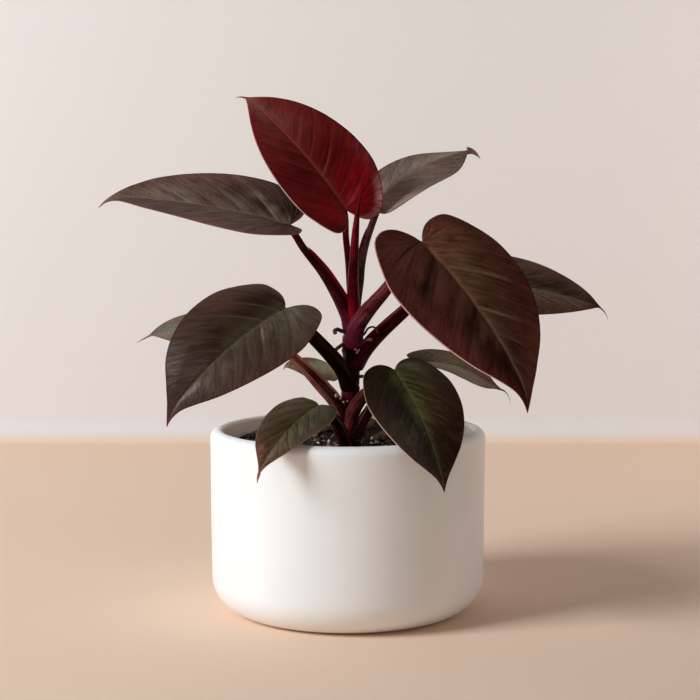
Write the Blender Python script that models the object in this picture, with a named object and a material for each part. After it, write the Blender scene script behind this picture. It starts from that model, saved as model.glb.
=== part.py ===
"""Potted philodendron: a white ceramic cover pot, soil, one short stem, eleven leaves.

Lengths in the tables are millimetres and angles are degrees. The origin is the
centre of the pot's flat base and +Z is up. -Y is the side the broad leaves face.
"""

import bmesh
import bpy
import numpy as np

MM = 0.001
GAP = 0.3

POT_RADIUS = 80.0
POT_FOOT_RADIUS = 79.3
POT_HEIGHT = 105.5
POT_WALL = 7.2
POT_FLOOR = 8.0
POT_FOOT_FILLET = 20.0
POT_RIM_OUTER = 5.0
POT_RIM_INNER = 2.2
POT_CAVITY_FILLET = 14.0
POT_SIDES = 52

SOIL_TOP = 94.0
SOIL_BUMP = 0.9
SOIL_RINGS = (0.0, 12.0, 26.0, 42.0, 58.0)

BLADE_THICKNESS = 0.9
MARGIN_THICKNESS = 0.6
BLADE_ROWS = 15
BLADE_COLUMNS = 3
LOBE_REACH = 0.12

FOOT_ACROSS = (-0.5, -0.25, -0.1, 0.0, 0.1, 0.25, 0.5)
FOOT_ALONG = (-0.16, -0.06, 0.0, 0.06, 0.16)
FOOT_DEPTH = 9.0

STEM_SIDES = 14
STEM_RINGS = 15
PETIOLE_SIDES = 12
PETIOLE_RINGS = 9
ROOT_SIDES = 8

# Half of a blade's outline: across in half widths, along in blade lengths.
BLUNT_HALF = (
    (0.0, 0.0), (0.07, -0.055), (0.22, -0.125), (0.45, -0.155), (0.70, -0.115),
    (0.90, 0.02), (1.0, 0.16), (0.985, 0.33), (0.88, 0.52), (0.70, 0.69),
    (0.46, 0.84), (0.22, 0.935), (0.075, 0.975), (0.0, 1.0),
)
TAPERED_HALF = (
    (0.0, 0.0), (0.07, -0.055), (0.22, -0.125), (0.45, -0.155), (0.70, -0.115),
    (0.90, 0.02), (1.0, 0.16), (0.96, 0.33), (0.80, 0.52), (0.565, 0.69),
    (0.30, 0.82), (0.12, 0.905), (0.04, 0.96), (0.0, 1.0),
)

# base: where the petiole meets the blade. heading: 0 is +X, 90 is +Y. pitch: up.
# roll turns the upper face about the midrib. droop and bend curve the midrib down
# and sideways. twist adds roll towards the tip. fold is the rise of each half at
# the midrib, cup its extra rise at the margin. curl hooks the tip down from
# curl_from on. lean makes one half wider. taper 0 is a blunt tip, 1 a drawn one.
LEAVES = {
    "crown_leaf": dict(
        base=(-1.0, -4.0, 231.0), length=88, width=55, heading=183, pitch=57,
        roll=-62, droop=19, bend=-24, twist=-21, fold=15, cup=1, curl=2,
        curl_from=0.80, lean=0.04, taper=0.47, lobe=0.82, lobe_lean=0.13,
    ),
    "high_left_leaf": dict(
        base=(-32.5, -24.5, 223.5), length=112, width=61, heading=177, pitch=16,
        roll=-27, droop=16, bend=-6, twist=-13, fold=26, cup=-24, curl=44,
        curl_from=0.78, lean=-0.07, taper=1.07, lobe=0.41, lobe_lean=-0.21,
    ),
    "high_back_leaf": dict(
        base=(19.0, 19.0, 237.5), length=86, width=47, heading=38, pitch=31,
        roll=16, droop=21, bend=-1, twist=3, fold=8, cup=-2, curl=103,
        curl_from=0.87, lean=0.0, taper=0.83, lobe=0.93, lobe_lean=-0.04,
    ),
    "front_right_leaf": dict(
        base=(41.0, -43.5, 214.0), length=120, width=71, heading=-38, pitch=-39,
        roll=31, droop=11, bend=-25, twist=7, fold=10, cup=-25, curl=43,
        curl_from=0.78, lean=-0.02, taper=1.02, lobe=0.73, lobe_lean=0.30,
    ),
    "right_leaf": dict(
        base=(51.5, 10.0, 188.5), length=107, width=56, heading=4, pitch=4,
        roll=37, droop=28, bend=-1, twist=5, fold=17, cup=-34, curl=32,
        curl_from=0.80, lean=0.0, taper=0.70, lobe=1.0, lobe_lean=0.0,
    ),
    "front_left_leaf": dict(
        base=(-34.5, -36.5, 177.5), length=112, width=64, heading=-137, pitch=-22,
        roll=-29, droop=13, bend=20, twist=-15, fold=7, cup=-20, curl=32,
        curl_from=0.79, lean=0.11, taper=1.08, lobe=0.53, lobe_lean=-0.28,
    ),
    "left_leaf": dict(
        base=(-49.0, 8.0, 157.0), length=78, width=44, heading=170, pitch=12,
        roll=-22, droop=25, bend=0, twist=-3, fold=15, cup=-23, curl=15,
        curl_from=0.80, lean=0.0, taper=0.40, lobe=1.0, lobe_lean=0.0,
    ),
    "small_back_leaf": dict(
        base=(-12.5, 15.0, 132.0), length=31, width=23, heading=158, pitch=39,
        roll=-17, droop=52, bend=-2, twist=-7, fold=16, cup=-17, curl=70,
        curl_from=0.79, lean=0.0, taper=0.34, lobe=0.8, lobe_lean=0.0,
    ),
    "low_left_leaf": dict(
        base=(-16.0, -42.0, 124.0), length=71, width=35, heading=-127, pitch=-15,
        roll=-13, droop=21, bend=16, twist=-2, fold=9, cup=-22, curl=14,
        curl_from=0.80, lean=0.07, taper=1.12, lobe=0.14, lobe_lean=0.0,
    ),
    "low_front_leaf": dict(
        base=(26.0, -41.5, 143.5), length=89, width=51, heading=-63, pitch=-30,
        roll=22, droop=20, bend=-12, twist=4, fold=-6, cup=-22, curl=18,
        curl_from=0.80, lean=-0.08, taper=0.96, lobe=0.64, lobe_lean=0.23,
    ),
    "low_right_leaf": dict(
        base=(45.0, 14.5, 143.0), length=72, width=40, heading=30, pitch=-12,
        roll=18, droop=20, bend=1, twist=15, fold=13, cup=-17, curl=51,
        curl_from=0.80, lean=0.0, taper=0.58, lobe=0.94, lobe_lean=0.0,
    ),
}

# Each petiole: its axis as (x, y, z, radius, sheath wing) from the stem outwards,
# the turn of its open side, and the earlier pieces that its foot is fitted round.
PETIOLES = {
    "crown_leaf": dict(
        axis=((3.0, 1.0, 167.0, 2.8, 0.0), (2.5, 2.0, 177.5, 2.6, 0.0),
              (1.5, 2.0, 188.5, 2.3, 0.0), (0.5, 1.0, 201.5, 2.0, 0.0),
              (-1.0, 0.0, 215.5, 1.9, 0.0)),
        tip_radius=1.7, turn=0, around=("main_stem", "new_leaf_spike"),
    ),
    "high_left_leaf": dict(
        axis=((3.0, -0.5, 164.0, 4.2, 0.0), (-0.5, -2.0, 173.0, 4.1, 0.8),
              (-6.0, -6.0, 183.5, 3.7, 1.4), (-14.0, -12.0, 196.5, 3.1, 1.4),
              (-24.5, -19.0, 209.5, 2.3, 0.3)),
        tip_radius=1.8, turn=0, around=("main_stem", "crown_leaf_petiole", "new_leaf_spike"),
    ),
    "high_back_leaf": dict(
        axis=((4.0, 2.0, 166.0, 2.8, 0.0), (5.0, 4.0, 177.0, 2.6, 0.4),
              (7.0, 6.5, 191.0, 2.2, 0.6), (8.0, 9.5, 201.0, 2.0, 0.3),
              (11.0, 14.0, 214.0, 1.9, 0.0)),
        tip_radius=1.7, turn=-60, around=("main_stem", "new_leaf_spike", "crown_leaf_petiole"),
    ),
    "front_right_leaf": dict(
        axis=((2.5, -1.5, 156.0, 4.4, 0.0), (5.5, -8.0, 166.0, 4.1, 0.0),
              (12.0, -16.0, 176.5, 3.6, 0.0), (21.5, -27.0, 188.0, 3.3, 0.0),
              (31.5, -37.0, 202.5, 2.8, 0.0)),
        tip_radius=2.2, turn=0, around=("main_stem", "high_left_leaf_petiole"),
    ),
    "right_leaf": dict(
        axis=((4.0, 0.5, 143.0, 4.2, 0.0), (13.5, 4.0, 155.0, 3.9, 0.2),
              (21.5, 7.0, 163.0, 3.6, 0.2), (32.5, 9.0, 172.5, 3.4, 0.0),
              (43.0, 10.0, 182.0, 2.9, 0.0)),
        tip_radius=2.3, turn=0, around=("main_stem",),
    ),
    "front_left_leaf": dict(
        axis=((1.0, -1.0, 130.0, 4.3, 0.0), (-4.5, -6.0, 141.0, 4.0, 0.2),
              (-11.5, -12.0, 150.0, 3.8, 0.2), (-20.0, -21.0, 160.0, 3.6, 0.0),
              (-27.5, -29.5, 168.5, 3.1, 0.0)),
        tip_radius=2.4, turn=0, around=("main_stem",),
    ),
    "left_leaf": dict(
        axis=((0.5, -2.0, 102.0, 3.2, 0.0), (-7.5, -5.0, 120.0, 3.3, 0.6),
              (-17.0, -3.0, 131.0, 3.1, 0.9), (-27.5, 1.0, 141.5, 2.4, 0.2),
              (-39.5, 6.0, 150.5, 1.9, 0.0)),
        tip_radius=1.7, turn=-35, around=("main_stem",),
    ),
    "low_front_leaf": dict(
        axis=((2.5, -3.0, 103.0, 3.3, 0.0), (4.5, -9.0, 117.0, 3.6, 0.2),
              (9.5, -18.0, 126.0, 3.3, 0.2), (17.5, -31.0, 135.5, 2.7, 0.0)),
        tip_radius=2.2, turn=0, around=("main_stem", "left_leaf_petiole"),
    ),
    "low_right_leaf": dict(
        axis=((3.0, 2.5, 94.0, 2.8, 0.0), (10.5, 6.0, 110.5, 2.9, 0.2),
              (18.0, 9.0, 121.0, 2.5, 0.0), (29.0, 12.0, 133.0, 2.1, 0.0)),
        tip_radius=1.7, turn=0, around=("main_stem", "low_front_leaf_petiole"),
    ),
    "low_left_leaf": dict(
        axis=((0.5, -3.0, 89.0, 3.5, 0.0), (-4.0, -13.0, 103.5, 3.4, 0.2),
              (-8.5, -27.0, 114.5, 2.8, 0.0)),
        tip_radius=1.9, turn=0, around=("main_stem", "low_front_leaf_petiole", "left_leaf_petiole"),
    ),
    "small_back_leaf": dict(
        axis=((1.0, 3.0, 107.0, 1.7, 0.0), (-5.0, 9.5, 116.0, 1.4, 0.0),
              (-10.0, 13.0, 125.0, 1.3, 0.0)),
        tip_radius=1.2, turn=0, around=("main_stem", "left_leaf_petiole"),
    ),
}

MAIN_STEM = (
    (2.0, 0.0, 65.0, 4.2), (2.0, 0.0, 85.0, 5.0), (1.5, 0.0, 107.0, 5.1),
    (1.5, 0.0, 126.5, 5.4), (2.3, 0.0, 145.0, 5.2), (2.5, 0.0, 151.0, 6.0),
    (3.0, 0.0, 159.0, 5.9), (3.5, 0.0, 167.0, 5.2), (3.5, 0.0, 173.0, 4.0),
)
NEW_LEAF_SPIKE = (
    (3.5, -1.5, 169.0, 3.3), (3.5, -3.5, 181.0, 3.0), (3.5, -5.0, 193.0, 2.5),
    (4.0, -7.0, 207.0, 2.1), (4.5, -9.5, 219.0, 1.5), (5.8, -12.5, 232.0, 0.9),
    (7.5, -14.5, 242.5, 0.3),
)
AERIAL_ROOTS = {
    "aerial_root_1": ((0.5, -1.5, 161.8, 1.2), (-3.5, -3.0, 162.0, 1.0),
                      (-6.0, -3.6, 163.0, 0.9), (-7.8, -4.4, 162.2, 0.9),
                      (-7.2, -4.8, 160.6, 0.8)),
    "aerial_root_2": ((0.8, -2.0, 154.5, 1.2), (-2.5, -4.0, 154.3, 1.0),
                      (-5.0, -5.6, 153.0, 0.9), (-7.4, -6.6, 151.0, 0.9)),
    "aerial_root_3": ((5.5, -3.0, 157.5, 0.9), (9.5, -5.5, 160.5, 0.7),
                      (12.0, -7.0, 164.0, 0.6), (15.0, -8.0, 164.6, 0.6),
                      (17.5, -8.0, 161.5, 0.5)),
    "aerial_root_4": ((5.5, -3.5, 153.5, 1.1), (10.0, -6.5, 157.0, 1.0),
                      (13.5, -8.5, 157.5, 0.9)),
    "aerial_root_5": ((4.5, -1.5, 135.0, 1.1), (8.5, -4.0, 135.8, 1.0),
                      (11.0, -5.5, 135.2, 0.8)),
}

# Each bark chip: where it lies, how long, wide and thick it is, and its heading.
BARK_CHIPS = {
    "bark_chip_1": (26.0, -30.0, 15.0, 8.0, 3.2, 35.0),
    "bark_chip_2": (38.0, -12.0, 12.0, 7.0, 3.0, 110.0),
    "bark_chip_3": (-30.0, -40.0, 13.0, 6.0, 2.8, 15.0),
    "bark_chip_4": (-2.0, -48.0, 14.0, 7.0, 3.0, 160.0),
    "bark_chip_5": (22.0, 34.0, 16.0, 8.0, 3.4, 70.0),
    "bark_chip_6": (-52.0, -14.0, 12.0, 7.0, 3.0, 95.0),
}


def clear_scene():
    for obj in list(bpy.data.objects):
        bpy.data.objects.remove(obj, do_unlink=True)


def spline(points, count):
    """Points spread evenly along a smooth curve through the given ones."""
    points = np.asarray(points, float)
    step = np.sqrt(np.linalg.norm(np.diff(points, axis=0), axis=1))
    knots = np.concatenate([[0.0], np.cumsum(step)])
    slopes = np.diff(points, axis=0) / step[:, None]
    tangents = np.empty_like(points)
    tangents[0] = slopes[0]
    tangents[-1] = slopes[-1]
    before, after = step[:-1, None], step[1:, None]
    tangents[1:-1] = (slopes[1:] * before + slopes[:-1] * after) / (before + after)
    at = np.linspace(0.0, knots[-1], count)
    k = np.clip(np.searchsorted(knots, at, side="right") - 1, 0, len(points) - 2)
    h = step[k][:, None]
    s = ((at - knots[k]) / step[k])[:, None]
    return (
        (2 * s**3 - 3 * s**2 + 1) * points[k]
        + (s**3 - 2 * s**2 + s) * h * tangents[k]
        + (3 * s**2 - 2 * s**3) * points[k + 1]
        + (s**3 - s**2) * h * tangents[k + 1]
    )


def half_outline(leaf, side, count):
    """Outline of the right (+1) or left (-1) half, from the sinus to the tip."""
    blunt, tapered = np.array(BLUNT_HALF), np.array(TAPERED_HALF)
    shape = blunt + leaf["taper"] * (tapered - blunt)
    lobe = leaf["lobe"] * (1 + side * leaf["lobe_lean"])
    shape[:, 1] = np.where(shape[:, 1] < 0, shape[:, 1] * lobe, shape[:, 1])
    shape[5, 1] = 0.02 - 0.05 * (lobe - 1)
    return spline(shape, count)


def midrib_frames(leaf, along):
    """Position, direction, right side and upper normal at fractions of the midrib."""
    grid = np.linspace(-0.4, 1.05, 146)
    hook = np.clip((grid - leaf["curl_from"]) / (1 - leaf["curl_from"]), 0, None)
    pitch = np.radians(leaf["pitch"] - leaf["droop"] * grid - leaf["curl"] * hook**2)
    heading = np.radians(leaf["heading"] + leaf["bend"] * grid)
    roll = np.radians(leaf["roll"] + leaf["twist"] * grid)[:, None]
    level = np.stack([np.cos(heading), np.sin(heading), 0 * heading], -1)
    up = np.array([0.0, 0.0, 1.0])
    tangent = level * np.cos(pitch)[:, None] + up * np.sin(pitch)[:, None]
    above = up * np.cos(pitch)[:, None] - level * np.sin(pitch)[:, None]
    beside = np.cross(tangent, above)
    normal = above * np.cos(roll) + beside * np.sin(roll)
    right = beside * np.cos(roll) - above * np.sin(roll)
    spacing = (grid[1] - grid[0]) * leaf["length"]
    steps = (tangent[1:] + tangent[:-1]) / 2 * spacing
    path = np.concatenate([np.zeros((1, 3)), np.cumsum(steps, axis=0)])
    start = int(np.argmin(np.abs(grid)))
    path = path - path[start] + np.array(leaf["base"])
    tables = (path, tangent, right, normal)
    return [
        np.stack([np.interp(along, grid, table[:, i]) for i in range(3)], -1)
        for table in tables
    ]


def blade_points(leaf, flat):
    """Middle surface of the blade at (across, along) points of the flat outline."""
    across, along = flat[:, 0], flat[:, 1]
    centre, _, right, normal = midrib_frames(leaf, along)
    side = np.where(across < 0, -1.0, 1.0)
    distance = np.abs(across) * leaf["width"] / 2 * (1 + side * leaf["lean"])
    fold = np.radians(leaf["fold"])
    cup = np.radians(leaf["cup"]) / (leaf["width"] / 2)
    outward = (np.sin(fold + cup * distance) - np.sin(fold)) / cup
    upward = (np.cos(fold) - np.cos(fold + cup * distance)) / cup
    return centre + right * (outward * side)[:, None] + normal * upward[:, None]


def blade_grid(leaf, side, rows, columns):
    """Flat points in rows that follow the side veins from midrib to margin."""
    edge = half_outline(leaf, side, rows + 1)
    even = half_outline(leaf, 0, rows + 1)[:, 1]
    root = np.clip((even - LOBE_REACH) / (1 - LOBE_REACH), 0, 1) ** 1.4
    v = np.linspace(0.0, 1.0, columns + 1)
    across = edge[:, :1] * v
    along = root[:, None] + (edge[:, 1] - root)[:, None] * v**1.5
    return np.stack([across * side, along], -1)


def blade_normals(leaf, flat, middle):
    """Upper normals of the blade, shared by both halves along the midrib."""
    side = np.where(flat[:, :1] < 0, -1.0, 1.0)
    over = blade_points(leaf, flat + side * [0.002, 0.0]) - middle
    along = blade_points(leaf, flat + [0.0, 0.002]) - middle
    normal = np.cross(over, along) * side
    on_rib = np.abs(flat[:, :1]) < 1e-9
    normal = np.where(on_rib, midrib_frames(leaf, flat[:, 1])[3], normal)
    return normal / np.linalg.norm(normal, axis=1)[:, None]


def blade_shell(leaf, side, rows, columns):
    """Upper and lower points of one half of the blade."""
    flat = blade_grid(leaf, side, rows, columns)
    shape = flat.shape[:2]
    flat = flat.reshape(-1, 2)
    middle = blade_points(leaf, flat)
    normal = blade_normals(leaf, flat, middle)
    v = np.tile(np.linspace(0.0, 1.0, shape[1]), shape[0])[:, None]
    half = (BLADE_THICKNESS + (MARGIN_THICKNESS - BLADE_THICKNESS) * v**2) / 2
    top = (middle + normal * half).reshape(shape + (3,))
    bottom = (middle - normal * half).reshape(shape + (3,))
    return top, bottom


def mesh_object(name, vertices, faces, material, merge=1e-6):
    """A closed mesh from millimetre points, with coincident points merged."""
    mesh = bpy.data.meshes.new(name)
    mesh.from_pydata([tuple(p) for p in np.asarray(vertices) * MM], [], faces)
    work = bmesh.new()
    work.from_mesh(mesh)
    bmesh.ops.remove_doubles(work, verts=work.verts, dist=merge)
    bmesh.ops.recalc_face_normals(work, faces=work.faces)
    if work.calc_volume(signed=True) < 0:
        bmesh.ops.reverse_faces(work, faces=work.faces)
    work.to_mesh(mesh)
    work.free()
    mesh.polygons.foreach_set("use_smooth", [True] * len(mesh.polygons))
    obj = bpy.data.objects.new(name, mesh)
    bpy.context.scene.collection.objects.link(obj)
    if material is not None:
        mesh.materials.append(material)
    return obj


def hide_cutter(obj):
    obj.hide_render = True
    obj.display_type = "WIRE"
    return obj


def cut(obj, cutter):
    modifier = obj.modifiers.new("fit round " + cutter.name, "BOOLEAN")
    modifier.operation = "DIFFERENCE"
    modifier.solver = "EXACT"
    modifier.object = cutter


def add_grid_faces(faces, start, rows, columns, flip):
    for row in range(rows):
        for column in range(columns):
            a = start + row * (columns + 1) + column
            quad = (a, a + 1, a + columns + 2, a + columns + 1)
            faces.append(quad[::-1] if flip else quad)


def blade_object(name, leaf, material):
    """The blade as one thin closed solid."""
    rows, columns = BLADE_ROWS, BLADE_COLUMNS
    points, faces, edges = [], [], []
    for side in (1, -1):
        top, bottom = blade_shell(leaf, side, rows, columns)
        size = top.shape[0] * top.shape[1]
        first = sum(len(p) for p in points)
        points += [top.reshape(-1, 3), bottom.reshape(-1, 3)]
        add_grid_faces(faces, first, rows, columns, side < 0)
        add_grid_faces(faces, first + size, rows, columns, side > 0)
        edges.append((first, first + size))
    for upper, lower in edges:
        for row in range(rows):
            a = upper + row * (columns + 1) + columns
            b = lower + row * (columns + 1) + columns
            faces.append((a, a + columns + 1, b + columns + 1, b))
    return mesh_object(name, np.concatenate(points), faces, material)


def blade_foot_cutter(name, leaf):
    """A block that trims the petiole just under the foot of the blade."""
    count = len(FOOT_ACROSS)
    across, along = np.meshgrid(FOOT_ACROSS, FOOT_ALONG)
    flat = np.stack([across.ravel(), along.ravel()], -1)
    middle = blade_points(leaf, flat)
    under = BLADE_THICKNESS / 2 + GAP
    lower = middle - blade_normals(leaf, flat, middle) * under
    upper = lower + midrib_frames(leaf, np.zeros(1))[3] * FOOT_DEPTH
    size, faces = len(lower), []
    add_grid_faces(faces, 0, len(FOOT_ALONG) - 1, count - 1, True)
    add_grid_faces(faces, size, len(FOOT_ALONG) - 1, count - 1, False)
    ring = list(range(count)) + list(range(2 * count - 1, size, count))
    ring += list(range(size - 2, size - count - 1, -1))
    ring += list(range(size - 2 * count, 0, -count))
    for a, b in zip(ring, ring[1:] + ring[:1]):
        faces.append((a, b, b + size, a + size))
    return hide_cutter(mesh_object(name, np.concatenate([lower, upper]), faces, None))


def tube_rings(axis, count, sides, turn, swell):
    """Rings of points round a smooth axis of (x, y, z, radius, wing) stations."""
    table = np.asarray(axis, float)
    if table.shape[1] == 4:
        table = np.column_stack([table, np.zeros(len(table))])
    fine = spline(table, count)
    centre = fine[:, :3]
    tangent = np.gradient(centre, axis=0)
    tangent /= np.linalg.norm(tangent, axis=1)[:, None]
    outward = (centre[-1] - centre[0]) * [1.0, 1.0, 0.0]
    reach = np.linalg.norm(outward)
    outward = outward / reach if reach > 3.0 else np.array([1.0, 0.0, 0.0])
    inward = np.array([0.0, 0.0, 0.3]) - outward
    open_side = inward - tangent * (tangent @ inward)[:, None]
    open_side /= np.linalg.norm(open_side, axis=1)[:, None]
    beside = np.cross(tangent, open_side)
    phi = np.linspace(0.0, 2 * np.pi, sides, endpoint=False)
    away = np.abs((phi + np.pi) % (2 * np.pi) - np.pi)
    wing = np.exp(-(((away - 0.65) / 0.32) ** 2))
    groove = 0.22 * np.exp(-((away / 0.35) ** 2))
    radius = fine[:, 3:4] * (1 - groove * (table[:, 4].max() > 0))
    radius = radius + np.clip(fine[:, 4:5], 0, None) * wing + swell
    turned = phi + np.radians(turn)
    spoke = (
        open_side[:, None] * np.cos(turned)[None, :, None]
        + beside[:, None] * np.sin(turned)[None, :, None]
    )
    return centre, tangent, centre[:, None] + spoke * radius[..., None]


def tube_object(name, axis, count, sides, material, turn=0.0, swell=0.0):
    """A closed tube with a low domed cap at each end."""
    centre, tangent, rings = tube_rings(axis, count, sides, turn, swell)
    out = np.stack([-tangent[0], tangent[-1]])
    bulge = 0.35 * np.linalg.norm(rings[[0, -1], 0] - centre[[0, -1]], axis=1)
    rings[[0, -1]] += out[:, None] * swell
    caps = centre[[0, -1]] + out * (bulge + swell)[:, None]
    points = np.concatenate([rings.reshape(-1, 3), caps])
    faces = []
    for ring in range(count - 1):
        for i in range(sides):
            j = (i + 1) % sides
            a, b = ring * sides, (ring + 1) * sides
            faces.append((a + i, a + j, b + j, b + i))
    last = (count - 1) * sides
    for i in range(sides):
        j = (i + 1) % sides
        faces.append((count * sides, j, i))
        faces.append((count * sides + 1, last + i, last + j))
    return mesh_object(name, points, faces, material)


def lathe_object(name, profile, sides, material):
    """A turned solid: profile points of (radius, height) that start and end at 0."""
    points, faces, start = [], [], []
    phi = np.linspace(0.0, 2 * np.pi, sides, endpoint=False)
    for radius, height in profile:
        start.append(len(points))
        ring = phi if radius > 0 else phi[:1]
        points += [(radius * np.cos(a), radius * np.sin(a), height) for a in ring]
    for k in range(len(profile) - 1):
        lower, upper = start[k], start[k + 1]
        for i in range(sides):
            j = (i + 1) % sides
            if profile[k][0] == 0:
                faces.append((lower, upper + j, upper + i))
            elif profile[k + 1][0] == 0:
                faces.append((lower + i, lower + j, upper))
            else:
                faces.append((lower + i, lower + j, upper + j, upper + i))
    return mesh_object(name, points, faces, material)


def arc(centre_r, centre_z, radius, start, stop, steps):
    angles = np.radians(np.linspace(start, stop, steps + 1))
    return [(centre_r + radius * np.cos(a), centre_z + radius * np.sin(a)) for a in angles]


def pot_profile():
    inner = POT_RADIUS - POT_WALL
    foot = POT_FOOT_RADIUS - POT_FOOT_FILLET
    top = POT_HEIGHT
    return (
        [(0.0, 0.0)]
        + arc(foot, POT_FOOT_FILLET, POT_FOOT_FILLET, -90, 0, 6)
        + arc(POT_RADIUS - POT_RIM_OUTER, top - POT_RIM_OUTER, POT_RIM_OUTER, 0, 90, 4)
        + arc(inner + POT_RIM_INNER, top - POT_RIM_INNER, POT_RIM_INNER, 90, 180, 3)
        + arc(
            inner - POT_CAVITY_FILLET, POT_FLOOR + POT_CAVITY_FILLET,
            POT_CAVITY_FILLET, 0, -90, 4,
        )
        + [(0.0, POT_FLOOR)]
    )


def soil_height(x, y):
    """Gently uneven top of the soil, level where it meets the pot."""
    radius = np.hypot(x, y) / (POT_RADIUS - POT_WALL)
    waves = np.sin(0.09 * x + 0.4) * np.cos(0.11 * y - 0.2) + 0.6 * np.sin(0.05 * (x - y))
    return SOIL_TOP + SOIL_BUMP * waves * (1 - radius**2)


def soil_object(material):
    """Soil that fills the pot to just below the rim, a hair clear of its wall."""
    inner = POT_RADIUS - POT_WALL - GAP
    fillet = POT_CAVITY_FILLET
    wall = arc(inner - fillet, POT_FLOOR + GAP + fillet, fillet, -90, 0, 3)
    profile = [(0.0, POT_FLOOR + GAP)] + wall + [(inner, SOIL_TOP)]
    profile += [(r, SOIL_TOP) for r in SOIL_RINGS[::-1]]
    obj = lathe_object("potting_soil", profile, POT_SIDES, material)
    for vertex in obj.data.vertices:
        x, y, z = vertex.co / MM
        if z > SOIL_TOP - 1:
            vertex.co.z = soil_height(x, y) * MM
    return obj


def chip_object(name, chip, material):
    """A flat, broken-edged piece of bark that lies on the soil."""
    x, y, length, width, thick, heading = chip
    seed = np.random.default_rng(int(abs(x * 7 + y * 13)))
    outline = np.linspace(0.0, 2 * np.pi, 8, endpoint=False)
    reach = 0.5 * (0.86 + 0.2 * seed.random(8))
    rough = 0.12 * thick * seed.random(8)
    turn = np.radians(heading)
    points = []
    for level, shrink in ((0.0, 0.82), (0.35, 1.0), (0.8, 0.9), (1.0, 0.6)):
        u = length * reach * shrink * np.cos(outline)
        v = width * reach * shrink * np.sin(outline)
        lift = thick * level + (rough if level > 0.5 else 0.0)
        across = u * np.cos(turn) - v * np.sin(turn) + x
        along = u * np.sin(turn) + v * np.cos(turn) + y
        points.append(np.column_stack([across, along, lift + 0 * u]))
    points = np.array(points)
    rest = max(soil_height(px, py) for px, py, _ in points.reshape(-1, 3))
    points[..., 2] += rest + GAP
    faces = [tuple(range(8))[::-1], tuple(range(24, 32))]
    for ring in range(3):
        for i in range(8):
            j = (i + 1) % 8
            a, b = ring * 8, ring * 8 + 8
            faces.append((a + i, a + j, b + j, b + i))
    return mesh_object(name, points.reshape(-1, 3), faces, material)


def plain_material(name, colour, roughness, coat=0.0):
    material = bpy.data.materials.new(name)
    material.use_nodes = True
    shader = material.node_tree.nodes["Principled BSDF"]
    shader.inputs["Base Color"].default_value = (*colour, 1.0)
    shader.inputs["Roughness"].default_value = roughness
    shader.inputs["Coat Weight"].default_value = coat
    material.diffuse_color = (*colour, 1.0)
    return material


def blade_colour(name):
    """The youngest leaf is wine red, the small back one green, the rest dark."""
    if name == "crown_leaf":
        return (0.10, 0.010, 0.010)
    if name == "small_back_leaf":
        return (0.085, 0.095, 0.045)
    if name in ("front_right_leaf", "front_left_leaf"):
        return (0.040, 0.016, 0.011)
    return (0.045, 0.030, 0.018)


def build_pot_and_soil():
    glaze = plain_material("white glaze", (0.82, 0.80, 0.78), 0.32, 0.3)
    lathe_object("ceramic_pot", pot_profile(), POT_SIDES, glaze)
    return soil_object(plain_material("potting soil", (0.022, 0.014, 0.010), 0.95))


def build_stem(cutters):
    skin = plain_material("stem skin", (0.030, 0.008, 0.010), 0.42)
    stem = tube_object("main_stem", MAIN_STEM, STEM_RINGS, STEM_SIDES, skin)
    swollen = tube_object("round_stem", MAIN_STEM, STEM_RINGS, STEM_SIDES, None, swell=GAP)
    cutters["main_stem"] = hide_cutter(swollen)
    young = plain_material("new leaf skin", (0.12, 0.008, 0.014), 0.30, 0.2)
    spike = tube_object("new_leaf_spike", NEW_LEAF_SPIKE, 14, 12, young)
    cut(spike, cutters["main_stem"])
    swollen = tube_object("round_spike", NEW_LEAF_SPIKE, 14, 12, None, swell=GAP)
    cutters["new_leaf_spike"] = hide_cutter(swollen)
    return stem


def build_leaf(name, cutters):
    leaf, petiole = LEAVES[name], PETIOLES[name]
    face = plain_material(name + " blade", blade_colour(name), 0.34, 0.15)
    blade_object(name + "_blade", leaf, face)
    under_blade = blade_foot_cutter("under_" + name + "_blade", leaf)
    skin = plain_material(name + " petiole", (0.055, 0.008, 0.012), 0.40)
    axis = petiole["axis"] + ((*leaf["base"], petiole["tip_radius"], 0.0),)
    stalk = tube_object(
        name + "_petiole", axis, PETIOLE_RINGS, PETIOLE_SIDES, skin,
        turn=petiole["turn"],
    )
    for other in petiole["around"]:
        cut(stalk, cutters[other])
    cut(stalk, under_blade)
    swollen = tube_object(
        "round_" + name + "_petiole", axis, PETIOLE_RINGS, PETIOLE_SIDES,
        None, turn=petiole["turn"], swell=GAP,
    )
    cutters[name + "_petiole"] = hide_cutter(swollen)


def build_roots(cutters):
    for name, axis in AERIAL_ROOTS.items():
        skin = plain_material(name.replace("_", " "), (0.045, 0.020, 0.014), 0.6)
        root = tube_object(name, axis, 7, ROOT_SIDES, skin)
        for other in ("main_stem", "front_right_leaf_petiole", "right_leaf_petiole"):
            cut(root, cutters[other])


def build_chips():
    for name, chip in BARK_CHIPS.items():
        bark = plain_material(name.replace("_", " "), (0.06, 0.035, 0.022), 0.9)
        chip_object(name, chip, bark)


def main():
    clear_scene()
    cutters = {}
    soil = build_pot_and_soil()
    build_stem(cutters)
    for name in PETIOLES:
        build_leaf(name, cutters)
    build_roots(cutters)
    build_chips()
    for name in ("main_stem", "low_left_leaf_petiole", "low_right_leaf_petiole"):
        cut(soil, cutters[name])


main()
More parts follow.
